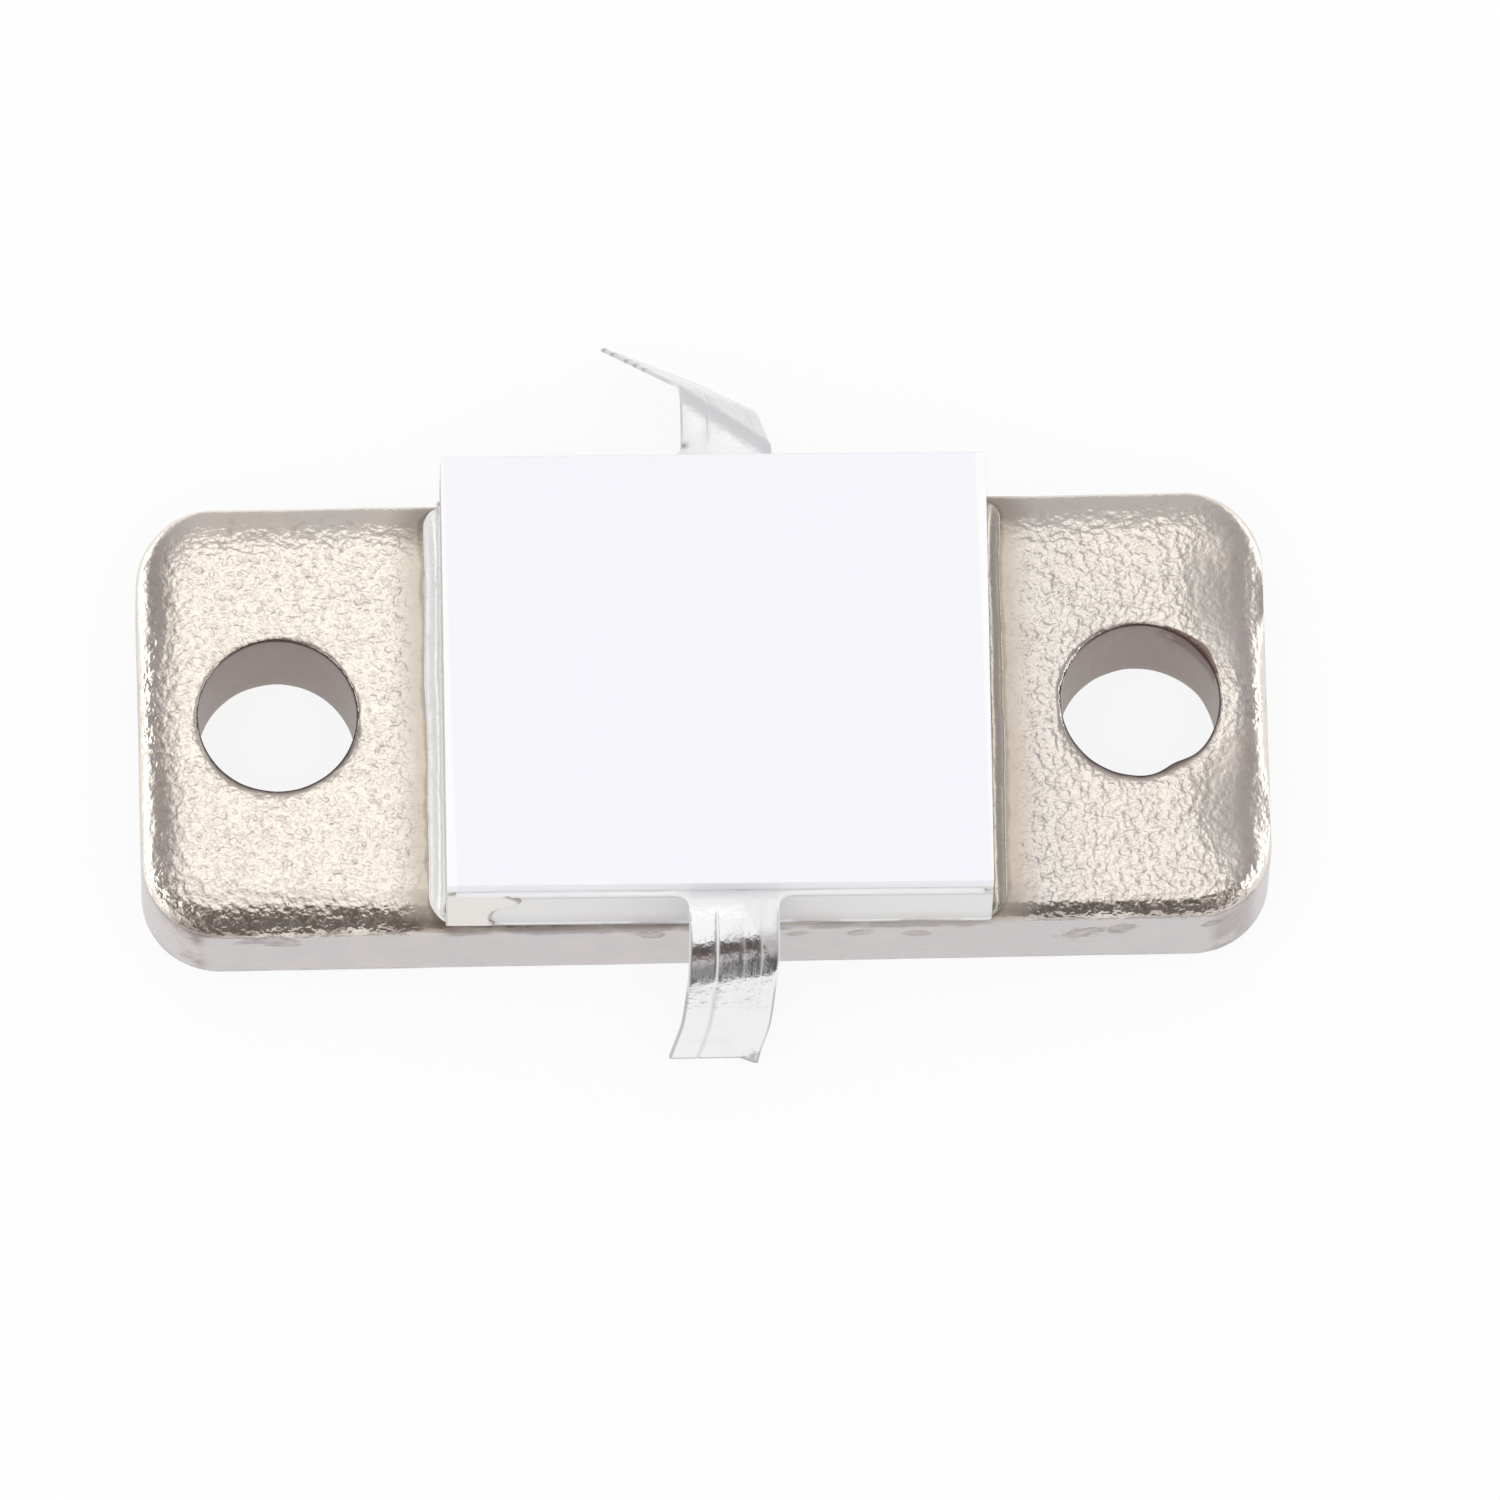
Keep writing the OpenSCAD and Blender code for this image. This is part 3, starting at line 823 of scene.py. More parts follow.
class FlangeMesh:
    """Collects the points and faces of the flange."""

    def __init__(self, form, ceramic):
        self.form = form
        self.chip = OnChip(ceramic)
        self.ceramic = ceramic
        self.points = []
        self.faces = []
        self.looks = []

    def add(self, place, normal, wall=0.0, painted_shade=0.0):
        """Adds an ideal point, settled on the worn form. wall says how far it is inside a hole."""
        self.points.append(self.form.settle(place, normal * (1 - wall)))
        across, along = self.chip.to_chip(place.x, place.y)
        beside = abs(across) - self.ceramic.width / 2 + 0.07 * MM * waves(along, across, 0.4, 1.2, 3)
        pressed = rise(beside, 1.1 * MM, 0.5 * MM)
        worn = rise(self.form.hollow(place.x, place.y), 0.02 * MM, 0.06 * MM)
        upright = rise(normal.z, 0.35, 0.05)
        rolled = rise(1 - normal.z, 0.01, 0.08)
        back = rolled * rise(place.y, 1.5 * MM, 3.2 * MM)
        # Painted shade on the front roll, kept in the flange's fourth look.
        front = band(-normal.y, 0.5, 0.8, 0.95, 0.99) * (1 - 0.4 * rise(place.x, -6 * MM, -2 * MM))
        smooth = max(pressed * 0.85, worn * 0.66, 0.5 * upright, back * 0.75, wall)
        rough = rolled * (0.2 + 0.6 * rise(-normal.y, 0.02, 0.2)) * (1 - upright)
        open_air = 1 - wall
        self.looks.append((smooth, upright * open_air, wall, max(painted_shade, front * open_air), rough * open_air))
        return len(self.points) - 1

    def outer_rings(self):
        """The rings from the lower face's edge round the side to the upper face's edge."""
        sizes = self.form.sizes
        top, low = FLANGE_HIGH.z, sizes.bottom_round
        stations = rounded_outline(FLANGE_HIGH.x, FLANGE_HIGH.y, sizes.corner, 0.11 * MM)
        rings = []
        for row in range(ROUND_ROWS + SIDE_ROWS + ROLL_ROWS + 1):
            ring = []
            for place, outward in stations:
                run, drop = self.form.roll_at(place.x, outward)
                out, up = 1.0, 0.0
                if row < ROUND_ROWS:
                    up, out = quarter(row / ROUND_ROWS - 1)
                    inset, z = low * (1 - out), low * (1 + up)
                elif row < ROUND_ROWS + SIDE_ROWS:
                    inset, z = 0.0, between(low, top - drop, (row - ROUND_ROWS) / SIDE_ROWS)
                else:
                    sine, cosine = quarter((row - ROUND_ROWS - SIDE_ROWS) / ROLL_ROWS)
                    inset, z = run * (1 - cosine), top - drop * (1 - sine)
                    out, up = drop * cosine, run * sine
                spot = place - outward * inset
                normal = Vector((outward.x * out, outward.y * out, up)).normalized()
                ring.append(self.add(Vector((spot.x, spot.y, z)), normal))
            rings.append(ring)
        self.faces += skin(rings)
        return rings[0], rings[-1]

    def hole_rings(self, hole, flawed):
        """The rings down a hole's wall, from its upper rim to its lower rim."""
        middle = Vector(hole["pos_m"])
        radius = hole["dims"]["r_mm"] * MM
        sizes, top = self.form.sizes, FLANGE_HIGH.z
        rows = [("rim", k / RIM_ROWS) for k in range(RIM_ROWS + 1)]
        rows += [("wall", k / WALL_ROWS) for k in range(1, WALL_ROWS)]
        rows += [("foot", k / ROUND_ROWS) for k in range(ROUND_ROWS + 1)]
        rings = []
        for kind, share in rows:
            sine, cosine = quarter(share)
            up = Vector((0.0, 0.0, 0.0 if kind == "foot" else 1.0))
            ring = []
            for station in range(HOLE_POINTS):
                turned = 360 * station / HOLE_POINTS
                outward = Vector((math.cos(math.radians(turned)), math.sin(math.radians(turned)), 0.0))
                rough = noise.noise(Vector((outward.x * 4, outward.y * 4, middle.x / MM)))
                rim = sizes.rim_round * (1 + 0.25 * rough)
                inward = 0.0
                for place, half, step_in, extra in RIM_FLAWS if flawed else []:
                    near = bell((turned - place + 180) % 360 - 180, half)
                    inward += step_in * MM * near
                    rim += extra * MM * near
                out, wall, down = 0.0, 1.0, 0.0
                if kind == "rim":
                    worn = sizes.rim_wear * rise(-outward.y, -0.1, 0.9) * (1 + 0.3 * rough)
                    bright = bell(turned - 168, 34)
                    out, z = (rim + worn) * (1 - sine), top - rim * (1 - cosine)
                    wall = rise(share, 0.3 + 0.5 * bright, 0.75 + 0.25 * bright)
                    inward, down = inward * share, rise(share, 0.0, 0.3)
                elif kind == "wall":
                    z = between(top - rim, rim, share)
                    inward, down = inward * (1 - share), rise(share, 0.25, 0.0)
                else:
                    out, z = rim * (1 - cosine), rim * (1 - sine)
                    inward = 0.0
                # Painted shade on the back right of the right hole's rim and the top of its wall.
                painted_shade = 4.5 * band(turned, 12, 24, 62, 80) * down if flawed else 0.0
                spot = middle + outward * (radius + out - inward)
                ring.append(self.add(Vector((spot.x, spot.y, z)), up, wall, painted_shade))
            rings.append(ring)
        self.faces += skin(rings)
        return rings[0], rings[-1]

    def fill_face(self, outer, holes, upper):
        """Fills the upper or lower face between its outer ring and the rings of its holes."""
        ids, edges = [], []
        for ring in [outer, *holes]:
            first, count = len(ids), len(ring)
            ids += ring
            edges += [(first + k, first + (k + 1) % count) for k in range(count)]
        for x, y in self.inner_points() if upper else []:
            ids.append(self.add(Vector((x, y, FLANGE_HIGH.z)), Vector((0, 0, 1))))
        made = delaunay_2d_cdt([self.points[i].xy for i in ids], edges, [], 1, 1e-9)
        source = [ids[k[0]] if k else None for k in made[3]]
        rims = [[self.points[i].xy for i in ring] for ring in holes]
        for triangle in made[2]:
            corners = [source[k] for k in triangle]
            middle = sum((self.points[i].xy for i in corners), Vector((0, 0))) / 3
            if not any(inside_outline(middle, rim) for rim in rims):
                self.faces.append(corners if upper else corners[::-1])

    def inner_points(self):
        """A fine staggered grid on the ears and a coarse one under the ceramic."""
        places = []
        fine = self.form.sizes.mesh_step
        for step, ears in ((fine, True), (7 * fine, False)):
            for row in range(math.floor(2 * FLANGE_HIGH.y / step)):
                y = (row + 0.5) * step - FLANGE_HIGH.y
                for column in range(math.floor(2 * FLANGE_HIGH.x / step)):
                    x = (column + 0.5 * (row % 2) + 0.25) * step - FLANGE_HIGH.x
                    on_ear = abs(self.chip.to_chip(x, y)[0]) > self.ceramic.width / 2 - 0.3 * MM
                    if on_ear == ears and self.clear(x, y, step):
                        places.append((x, y))
        return places

    def clear(self, x, y, step):
        """Whether a place lies well inside the flat of the upper face."""
        sizes = self.form.sizes
        outward, inset = self.form.edge_near(x, y)
        if inset < self.form.roll_at(x + outward.x * inset, outward)[0] + 0.5 * step:
            return False
        for hole in HOLES:
            reach = hole["dims"]["r_mm"] * MM + 1.3 * (sizes.rim_round + sizes.rim_wear) + 0.5 * step
            if (Vector((x, y)) - Vector(hole["pos_m"][:2])).length < reach:
                return False
        return True


class RESISTOR_OT_flange(bpy.types.Operator):
    """Builds the plated flange with its rolled edges, worn face and two holes"""

    bl_idname = "resistor.flange"
    bl_label = "Flange"

    def execute(self, context):
        scene = context.scene
        mesh = FlangeMesh(FlangeForm(scene.resistor_flange), scene.resistor_ceramic)
        bottom, top = mesh.outer_rings()
        rims = [mesh.hole_rings(hole, hole["name"] == "right_hole") for hole in HOLES]
        mesh.fill_face(top, [upper for upper, _ in rims], True)
        mesh.fill_face(bottom, [lower for _, lower in rims], False)
        flange = new_piece("plated_flange", mesh.points, mesh.faces, finish("nickel_plate", nickel_finish))
        for name, values in zip(FLANGE_LOOKS, zip(*mesh.looks)):
            set_numbers(flange, name, values)
        join_frame(flange, "nickel_plate", "flange")
        return {"FINISHED"}


class RESISTOR_OT_base_solder(bpy.types.Operator):
    """Builds the solder that fills in round the foot of the ceramic"""

    bl_idname = "resistor.base_solder"
    bl_label = "Solder round the ceramic"

    def execute(self, context):
        scene = context.scene
        sizes = scene.resistor_solder
        form, chip = FlangeForm(scene.resistor_flange), OnChip(scene.resistor_ceramic)
        wall_x = scene.resistor_ceramic.width / 2
        half_y = FLANGE_HIGH.y - sizes.setback
        stations = rounded_outline(wall_x + sizes.reach, half_y, sizes.corner, 0.06 * MM)
        under = METAL_LOW.z + 0.005 * MM
        steps = 10
        rings = [[] for _ in range(steps + 4)]
        for place, outward in stations:
            side = rise(abs(outward.x), 0.3, 0.95)
            flow, slow = waves(*place, 5.0, 0.5), waves(*place, 9.0, 2.1)
            outer = place + outward * (0.02 * flow + 0.05 * slow) * MM * side
            wall = between(place, Vector((math.copysign(wall_x, place.x), place.y)), side)
            top = between(under, METAL_HIGH.z + sizes.reach * (0.8 + 0.3 * slow), side)
            profile = [(outer, form.height(*chip.to_flange(*outer)) - 0.05 * MM)]
            for k in range(steps + 1):
                sine, cosine = quarter(k / steps)
                bulge = sizes.bulge * (1 - side) * 2 * sine * cosine * (1 + 0.6 * flow)
                spot = between(outer, wall, sine) - outward * bulge
                low = form.height(*chip.to_flange(*spot)) + sizes.toe * side
                profile.append((spot, between(low, max(top, low), 1 - cosine)))
            profile += [(wall * 0.995, profile[-1][1]), (wall * 0.99, under)]
            for ring, (spot, z) in zip(rings, profile):
                ring.append(Vector((*chip.to_flange(*spot), z)))
        points = [p for ring in rings for p in ring]
        faces = solid_faces(len(stations), len(rings))
        solder = new_piece("solder_fillet", points, faces, finish("solder", solder_finish))
        join_frame(solder, "solder", "base_solder")
        return {"FINISHED"}


def sawn_plate(name, ceramic, depth, low, high, material, chips, seed):
    """A ceramic plate on the flange, with finely rounded edges and a few small chips along them."""
    draw = random.Random(seed)
    edge = ceramic.edge
    stations = rounded_outline(ceramic.width / 2, depth / 2, edge * 1.5, 0.05 * MM)
    total = len(stations)
    nicks = []
    for _ in range(chips):
        nicks.append((draw.randrange(total), draw.uniform(1.5, 4.0), draw.uniform(0.02, 0.06) * MM))
    turns = [k / 3 for k in range(4)]
    rows = [(edge * (1 - quarter(k)[0]), low + edge * (1 - quarter(k)[1]), 0.0) for k in turns]
    rows += [(edge * (1 - quarter(k)[1]), high - edge * (1 - quarter(k)[0]), k) for k in turns]
    points = []
    for inset, z, share in rows:
        for k, (place, outward) in enumerate(stations):
            deep = 0.0
            for middle, half, depth_in in nicks:
                gap = min(abs(k - middle), total - abs(k - middle))
                deep = max(deep, depth_in * max(0.0, 1 - (gap / half) ** 2))
            spot = place - outward * (inset + deep * share)
            points.append((spot.x, spot.y, z - deep * 0.5 * share * (1 - share)))
    plate = new_piece(name, points, solid_faces(total, len(rows)), material, smooth=False)
    plate.data.transform(OnChip(ceramic).matrix)
    return plate


class RESISTOR_OT_ceramic(bpy.types.Operator):
    """Builds the ceramic body and gives the printed layers on it their finishes"""

    bl_idname = "resistor.ceramic"
    bl_label = "Ceramic body"

    def execute(self, context):
        ceramic = context.scene.resistor_ceramic
        looks = finish("body_ceramic", ceramic_finish)
        low, high = CHIP_LOW.z, CHIP_HIGH.z
        body = sawn_plate("ceramic_body", ceramic, ceramic.depth, low, high, looks, chips=26, seed=4)
        join_frame(body, "body_ceramic", "substrate")
        fired = finish("fired_metal", fired_metal_finish)
        dress_nodes(fired, "substrate_base_metal", "front_pad", "back_pad")
        dress_nodes(finish("resistive_film", film_finish), "resistor_film")
        dress_nodes(finish("film_glass", glass_finish), "film_glaze")
        return {"FINISHED"}


class RESISTOR_OT_cover(bpy.types.Operator):
    """Builds the plain ceramic cover"""

    bl_idname = "resistor.cover"
    bl_label = "Cover"

    def execute(self, context):
        ceramic = context.scene.resistor_ceramic
        looks = finish("cover_ceramic", cover_finish)
        low, high = COVER_LOW.z, COVER_HIGH.z
        cover = sawn_plate("ceramic_cover", ceramic, ceramic.cover_depth, low, high, looks, chips=34, seed=9)
        join_frame(cover, "cover_ceramic", "cover")
        return {"FINISHED"}


# Outline of the dried run of glue, as shares of its width and of the front face's height: its two corners
# at the foot, its broken edge from the foot up, and its two corners at the top
RUN_OUTLINE = [
    (0.012, 0.04), (0.55, 0.03),
    (0.63, 0.03), (0.66, 0.09), (0.60, 0.17), (0.59, 0.27), (0.61, 0.36), (0.64, 0.45), (0.66, 0.53),
    (0.73, 0.60), (0.85, 0.66), (0.92, 0.71), (0.99, 0.77), (1.0, 0.82), (0.95, 0.88), (0.87, 0.95),
    (0.83, 1.0), (0.74, 1.0), (0.012, 1.0),
]
# The run's rims from the ceramic out: inset in the same shares, share of its thickness, and how much painted
# shade each carries
RUN_RIMS = [(0.0, -0.01, 1.0), (0.0, 0.5, 1.0), (0.015, 0.9, 1.0), (0.045, 1.0, 0.8), (0.075, 1.0, 0.0)]


class RESISTOR_OT_glue(bpy.types.Operator):
    """Builds the glue under the cover and the run that dried on the front face"""

    bl_idname = "resistor.glue"
    bl_label = "Glue"

    def execute(self, context):
        sizes, ceramic = context.scene.resistor_glue, context.scene.resistor_ceramic
        half_x = ceramic.width / 2 - sizes.setback
        half_y = ceramic.cover_depth / 2 - sizes.setback
        stations = rounded_outline(half_x, half_y, sizes.corner, 0.12 * MM)
        steps = 6
        points = []
        for row in range(steps + 1):
            share = row / steps
            for place, outward in stations:
                swell = 0.01 + 0.04 * waves(*place, 2.0, 0.9) - 0.01 * math.sin(math.pi * share)
                spot = place + outward * swell * MM
                points.append((spot.x, spot.y, between(CHIP_HIGH.z, COVER_LOW.z, share)))
        faces = solid_faces(len(stations), steps + 1)
        # The glue under the cover takes a tenth of the run edge's darker tone.
        dark = [0.1] * len(points)
        self.add_run(sizes, ceramic, points, faces, dark)
        glue = new_piece("cover_glue", points, faces, finish("glue", glue_finish))
        set_numbers(glue, "edge", dark)
        glue.data.transform(OnChip(ceramic).matrix)
        join_frame(glue, "glue", "cover_adhesive")
        return {"FINISHED"}

    def add_run(self, sizes, ceramic, points, faces, dark):
        """Adds the thin dried run: a raised flake with a broken edge."""
        count = len(RUN_OUTLINE)
        faces += solid_faces(count, len(RUN_RIMS), len(points))
        middle = Vector((0.4, 0.5))
        for inset, out, shade in RUN_RIMS:
            for k, (across, up) in enumerate(RUN_OUTLINE):
                spot = Vector((across, up))
                spot += (middle - spot).normalized() * inset
                jag = 0.012 * noise.noise(Vector((across * 40, up * 40, 1.0)))
                x = (spot.x + jag) * sizes.run_width - ceramic.width / 2
                y = -ceramic.depth / 2 - sizes.run_thickness * out
                points.append((x, y, between(CHIP_LOW.z, COVER_LOW.z, min(spot.y, 0.985))))
                # Painted shade along the run's broken edge, not at its corners.
                dark.append(shade if 1 < k < count - 2 else 0.0)


FOLD_SIZES = ("Place", "Skew", "Angle", "Radius")


def new_tree(name, inputs):
    """The graph of a new node group from a geometry to a geometry, and the values of its named inputs."""
    tree = bpy.data.node_groups.new(name, "GeometryNodeTree")
    tree.interface.new_socket("Geometry", in_out="OUTPUT", socket_type="NodeSocketGeometry")
    for title, kind in [("Geometry", "Geometry"), *inputs]:
        tree.interface.new_socket(title, in_out="INPUT", socket_type="NodeSocket" + kind)
    graph = Graph(tree)
    entry = graph.node("NodeGroupInput").socket.node
    return graph, [Value(graph, entry.outputs[k]) for k in range(len(inputs) + 1)]


def fold_tree():
    """A node group that bends a flat strip round one fold line. The strip runs along Y."""
    graph, inputs = new_tree("Fold", [(name, "Float") for name in FOLD_SIZES])
    strip, start, skew, angle, radius = inputs
    x, y, z = graph.parts(graph.node("GeometryNodeInputPosition"))
    sine, cosine = graph.math("SINE", skew), graph.math("COSINE", skew)
    along = y - start
    past = x * sine + along * cosine
    beside = x * cosine - along * sine
    arc = radius * angle
    bent = angle * graph.math("MINIMUM", past / arc, 1.0)
    straight = graph.most(past - arc, 0.0)
    sine_bent, cosine_bent = graph.math("SINE", bent), graph.math("COSINE", bent)
    out = (radius + z) * sine_bent + straight * cosine_bent
    up = (radius + z) * cosine_bent - radius - straight * sine_bent
    place = {0: beside * cosine + out * sine, 1: start - beside * sine + out * cosine, 2: up}
    moved = graph.node("ShaderNodeCombineXYZ", inputs=place)
    beyond = graph.math("MINIMUM", past, y)
    selected = graph.node("FunctionNodeCompare", {"operation": "GREATER_THAN"}, {0: beyond, 1: 0.0})
    inputs = {"Geometry": strip, "Selection": selected, "Position": moved}
    graph.node("NodeGroupOutput", inputs={0: graph.node("GeometryNodeSetPosition", inputs=inputs)})
    return graph.tree


def ribbon_tree(fold, folds):
    """A node tree that makes so many folds in a flat ribbon, the one nearest its tip first."""
    titles = [(f"{name} {k + 1}", "Float") for k in range(folds) for name in FOLD_SIZES]
    graph, (strip, *sizes, material) = new_tree("Folded ribbon", [*titles, ("Material", "Material")])
    for k in range(folds):
        inputs = dict(enumerate([strip, *sizes[4 * k : 4 * k + 4]]))
        strip = graph.node("GeometryNodeGroup", {"node_tree": fold}, inputs)
    real = graph.node("GeometryNodeRealizeInstances", inputs={"Geometry": strip})
    painted = graph.node("GeometryNodeSetMaterial", inputs={"Geometry": real, "Material": material})
    graph.node("NodeGroupOutput", inputs={0: painted})
    return graph.tree


# Folds of each ribbon, in millimetres and degrees: where each starts along its middle, and its skew, angle
# and radius
FRONT_FOLDS = [(0.52, 7.5, 68, 1.25), (2.967, -6.3, 22.5, 2.6)]
BACK_FOLDS = [(0.518, 34, 52, 0.6), (1.692, 0, 19.5, 0.84)]
# Score lines: place across the ribbon and half width, in millimetres, and share of the full depth
SCORES = [(-0.37, 0.035, 1.0), (0.61, 0.03, 0.55), (0.22, 0.05, 0.25)]


def worn_depth(x, y, sizes):
    """Depth of the score lines and of the rolled-over edges at a place on the flat ribbon."""
    scores = 0.0
    for place, half, share in SCORES:
        wander = 0.03 * noise.noise(Vector((place, y / (1.5 * MM), 0.0)))
        scores += share * bell(x / MM - place - wander, half)
    inside = max(0.0, sizes.width / 2 - abs(x)) / (0.09 * MM)
    rolled = sizes.roll_over * max(0.0, 1 - inside) ** 2
    return (sizes.score * scores + rolled) * rise(y, 0.3 * MM, 0.5 * MM)


def ribbon_looks(x, y, long, cut, front, sizes):
    """How sheared and how dull the silver is at a place on the flat ribbon, and where a highlight is painted
    on its score lines and side edges.
    """
    from_side = sizes.width / 2 - abs(x)
    from_end = long + x * math.tan(cut) - y
    lower = rise(y, 1.9 * MM, 2.6 * MM)
    edge = 0.75 * rise(min(from_side, from_end * 0.6), 0.07 * MM, 0.03 * MM)
    sheared = lower * max(edge, 0.35 * bell(x / MM - SCORES[0][0], 0.04))
    scores = max(share * bell(x / MM - place, 0.03) for place, _, share in SCORES)
    # Painted highlight along the score lines and the side edges.
    scores_and_highlight = max(scores * rise(y, 0.4 * MM, 0.7 * MM), 0.7 * rise(from_side, 0.06 * MM, 0.03 * MM))
    scores_and_highlight *= 1 - 0.7 * lower
    if front:
        turned = (x - sizes.width / 2) / sizes.burr_width + (y - long) / sizes.burr_length + 2
        burr = 0.7 * rise(turned, 1.0, 1.12) * (0.7 + 0.9 * waves(x, y, 0.0, 0.1))
        wander = 0.06 * MM * waves(x, y, 3.0, 0.3)
        crease = 0.27 * MM + max(0.0, x - 0.2 * MM) * 1.9
        dull = rise(y + wander, crease + 0.05 * MM, crease - 0.03 * MM) * rise(y, 1.5 * MM, 1.2 * MM)
        return min(max(sheared, burr), 1.0), dull, scores_and_highlight
    near_tip = rise(y, 3.6 * MM, 4.2 * MM) * rise(x, -0.6 * MM, -0.8 * MM)
    spots = rise(waves(x, y, 8.0, 0.5, 0.3), 0.05, 0.2) * near_tip
    # A dark spot at the left edge near the root.
    left_root_spot = bell(x / MM + 0.93, 0.09) * bell(y / MM - 0.27, 0.07)
    dull = 1 - 0.5 * rise(y, 2.4 * MM, 3.2 * MM)
    return min(max(0.5 * sheared, 0.85 * spots, left_root_spot), 1.0), dull, 0.3 * scores_and_highlight


def flat_ribbon(sizes, long, cut, front):
    """The flat blank of a lead: its wide foot behind the origin and its ribbon along +Y, as one sheet."""
    half, root = sizes.width / 2, sizes.root
    foot_back = -(PAD_HIGH.y - PAD_LOW.y) * 0.97
    wide = (PAD_HIGH.x - PAD_LOW.x) / 2 - 0.06 * MM
    near_score = (-0.05, -0.03, -0.015, 0, 0.015, 0.03, 0.05)
    places = [-1 + 2 * k / 30 for k in range(31)]
    places += [place / (half / MM) + near for place, _, _ in SCORES for near in near_score]
    places += [side * near for side in (-1, 1) for near in (0.92, 0.95, 0.975)]
    places.sort()
    columns = [c for k, c in enumerate(places) if k == 0 or c - places[k - 1] > 0.006]
    rest = math.ceil((long - root) / (0.06 * MM))
    rows = [foot_back, foot_back * 0.5]
    rows += [root * k / 8 for k in range(9)]
    rows += [between(root, long, k / rest) for k in range(1, rest + 1)]
    points = []
    for y in rows:
        flare = 0.0 if y >= root else root - math.sqrt(root * root - (root - max(y, 0.0)) ** 2)
        tilt = math.tan(cut) * rise(y, long - 1.2 * MM, long)
        for c in columns:
            x = c * (half + flare * (front or c < 0))
            points.append(Vector((x, y + x * tilt, 0.0)))
    grid = numbered(len(columns), len(rows))
    faces = skin(grid, closed=False)
    for side, end in ((-1, -wide - sizes.shift), (1, wide - sizes.shift)):
        lines = []
        for row in grid[:3]:
            inner = row[0] if side < 0 else row[-1]
            start = points[inner]
            lines.append([inner])
            steps = 24
            for k in range(1, steps + 1):
                lines[-1].append(len(points))
                points.append(Vector((between(start.x, end, k / steps), start.y, 0.0)))
        faces += skin(lines, closed=False, turned=side < 0)
    return points, faces


class RESISTOR_OT_leads(bpy.types.Operator):
    """Cuts both leads as flat blanks, thickens them and folds them down"""

    bl_idname = "resistor.leads"
    bl_label = "Leads"

    def execute(self, context):
        sizes = context.scene.resistor_leads
        silver = finish("silver_ribbon", silver_finish)
        fold = fold_tree()
        front_folds = [*self.in_metres(FRONT_FOLDS), self.burr(sizes)]
        self.lead(context, True, sizes.front_length, sizes.front_cut, front_folds, silver, fold)
        back_folds = self.in_metres(BACK_FOLDS)
        self.lead(context, False, sizes.back_length, sizes.back_cut, back_folds, silver, fold)
        dress_nodes(finish("solder", solder_finish), "front_lead_solder", "back_lead_solder")
        return {"FINISHED"}

    def in_metres(self, folds):
        """The folds of a ribbon, with their lengths in metres and their angles in radians."""
        return [(start * MM, math.radians(skew), math.radians(by), r * MM) for start, skew, by, r in folds]

    def burr(self, sizes):
        """The turned-up corner: one more fold, across the corner of the cut end, with the other sign."""
        x = sizes.width / 2 - sizes.burr_width
        cut = math.tan(sizes.front_cut)
        skew = math.atan(sizes.burr_length / sizes.burr_width - cut)
        start = sizes.front_length + x * (cut + math.tan(skew))
        return start, skew, -sizes.burr_angle, -sizes.burr_radius

    def lead(self, context, front, long, cut, folds, silver, fold):
        """Makes one lead in its own frame, then sets it on the ceramic."""
        sizes, ceramic = context.scene.resistor_leads, context.scene.resistor_ceramic
        points, faces = flat_ribbon(sizes, long, cut, front)
        ribbon = new_piece("front_ribbon" if front else "back_ribbon", points, faces, silver)
        layer = ribbon.data.uv_layers.new(name="ribbon")
        for loop in ribbon.data.loops:
            layer.data[loop.index].uv = points[loop.vertex_index].xy / MM
        solid = ribbon.modifiers.new("Thickness", "SOLIDIFY")
        solid.thickness = sizes.thickness
        solid.offset = 0.0
        bevel = ribbon.modifiers.new("Edges", "BEVEL")
        bevel.width = sizes.edge
        bevel.segments = 2
        bevel.angle_limit = math.radians(60)
        self.make_plain(context, ribbon)
        looks = []
        for vertex in ribbon.data.vertices:
            x, y, z = vertex.co
            looks.append(ribbon_looks(x, y, long, cut, front, sizes))
            if z > 0:
                vertex.co.z -= worn_depth(x, y, sizes)
        for name, values in zip(RIBBON_LOOKS, zip(*looks)):
            set_numbers(ribbon, name, values)
        folding = ribbon.modifiers.new("Folds", "NODES")
        tree = ribbon_tree(fold, len(folds))
        folding.node_group = tree
        sockets = {s.name: s.identifier for s in tree.interface.items_tree if s.in_out == "INPUT"}
        for k, values in enumerate(reversed(folds)):
            for kind, value in zip(FOLD_SIZES, values):
                folding[sockets[f"{kind} {k + 1}"]] = value
        folding[sockets["Material"]] = silver
        self.make_plain(context, ribbon)
        foot_z = PAD_HIGH.z + sizes.thickness / 2
        up = Matrix.Translation((sizes.shift, ceramic.depth / 2 + sizes.lip, foot_z))
        mirror = Matrix.Diagonal((1, -1 if front else 1, 1, 1))
        ribbon.data.transform(OnChip(ceramic).matrix @ mirror @ up)
        if front:
            ribbon.data.flip_normals()
        ribbon.data.shade_smooth()
        join_frame(ribbon, "silver_ribbon", "front_lead" if front else "back_lead")

    def make_plain(self, context, piece):
        """Puts the piece's modifiers into its mesh and removes them."""
        graph = context.evaluated_depsgraph_get()
        mesh = bpy.data.meshes.new_from_object(piece.evaluated_get(graph), depsgraph=graph)
        piece.modifiers.clear()
        piece.data = mesh


def tent_finish():
    """The tent and its cards glow as their points say."""
    material, graph = new_material("studio_tent")
    tone = graph.node("ShaderNodeAttribute", {"attribute_name": "glow"}, output="Color")
    glow = graph.node("ShaderNodeEmission", inputs={"Color": tone, "Strength": 1.0})
    graph.node("ShaderNodeOutputMaterial", inputs={"Surface": glow})
    return material


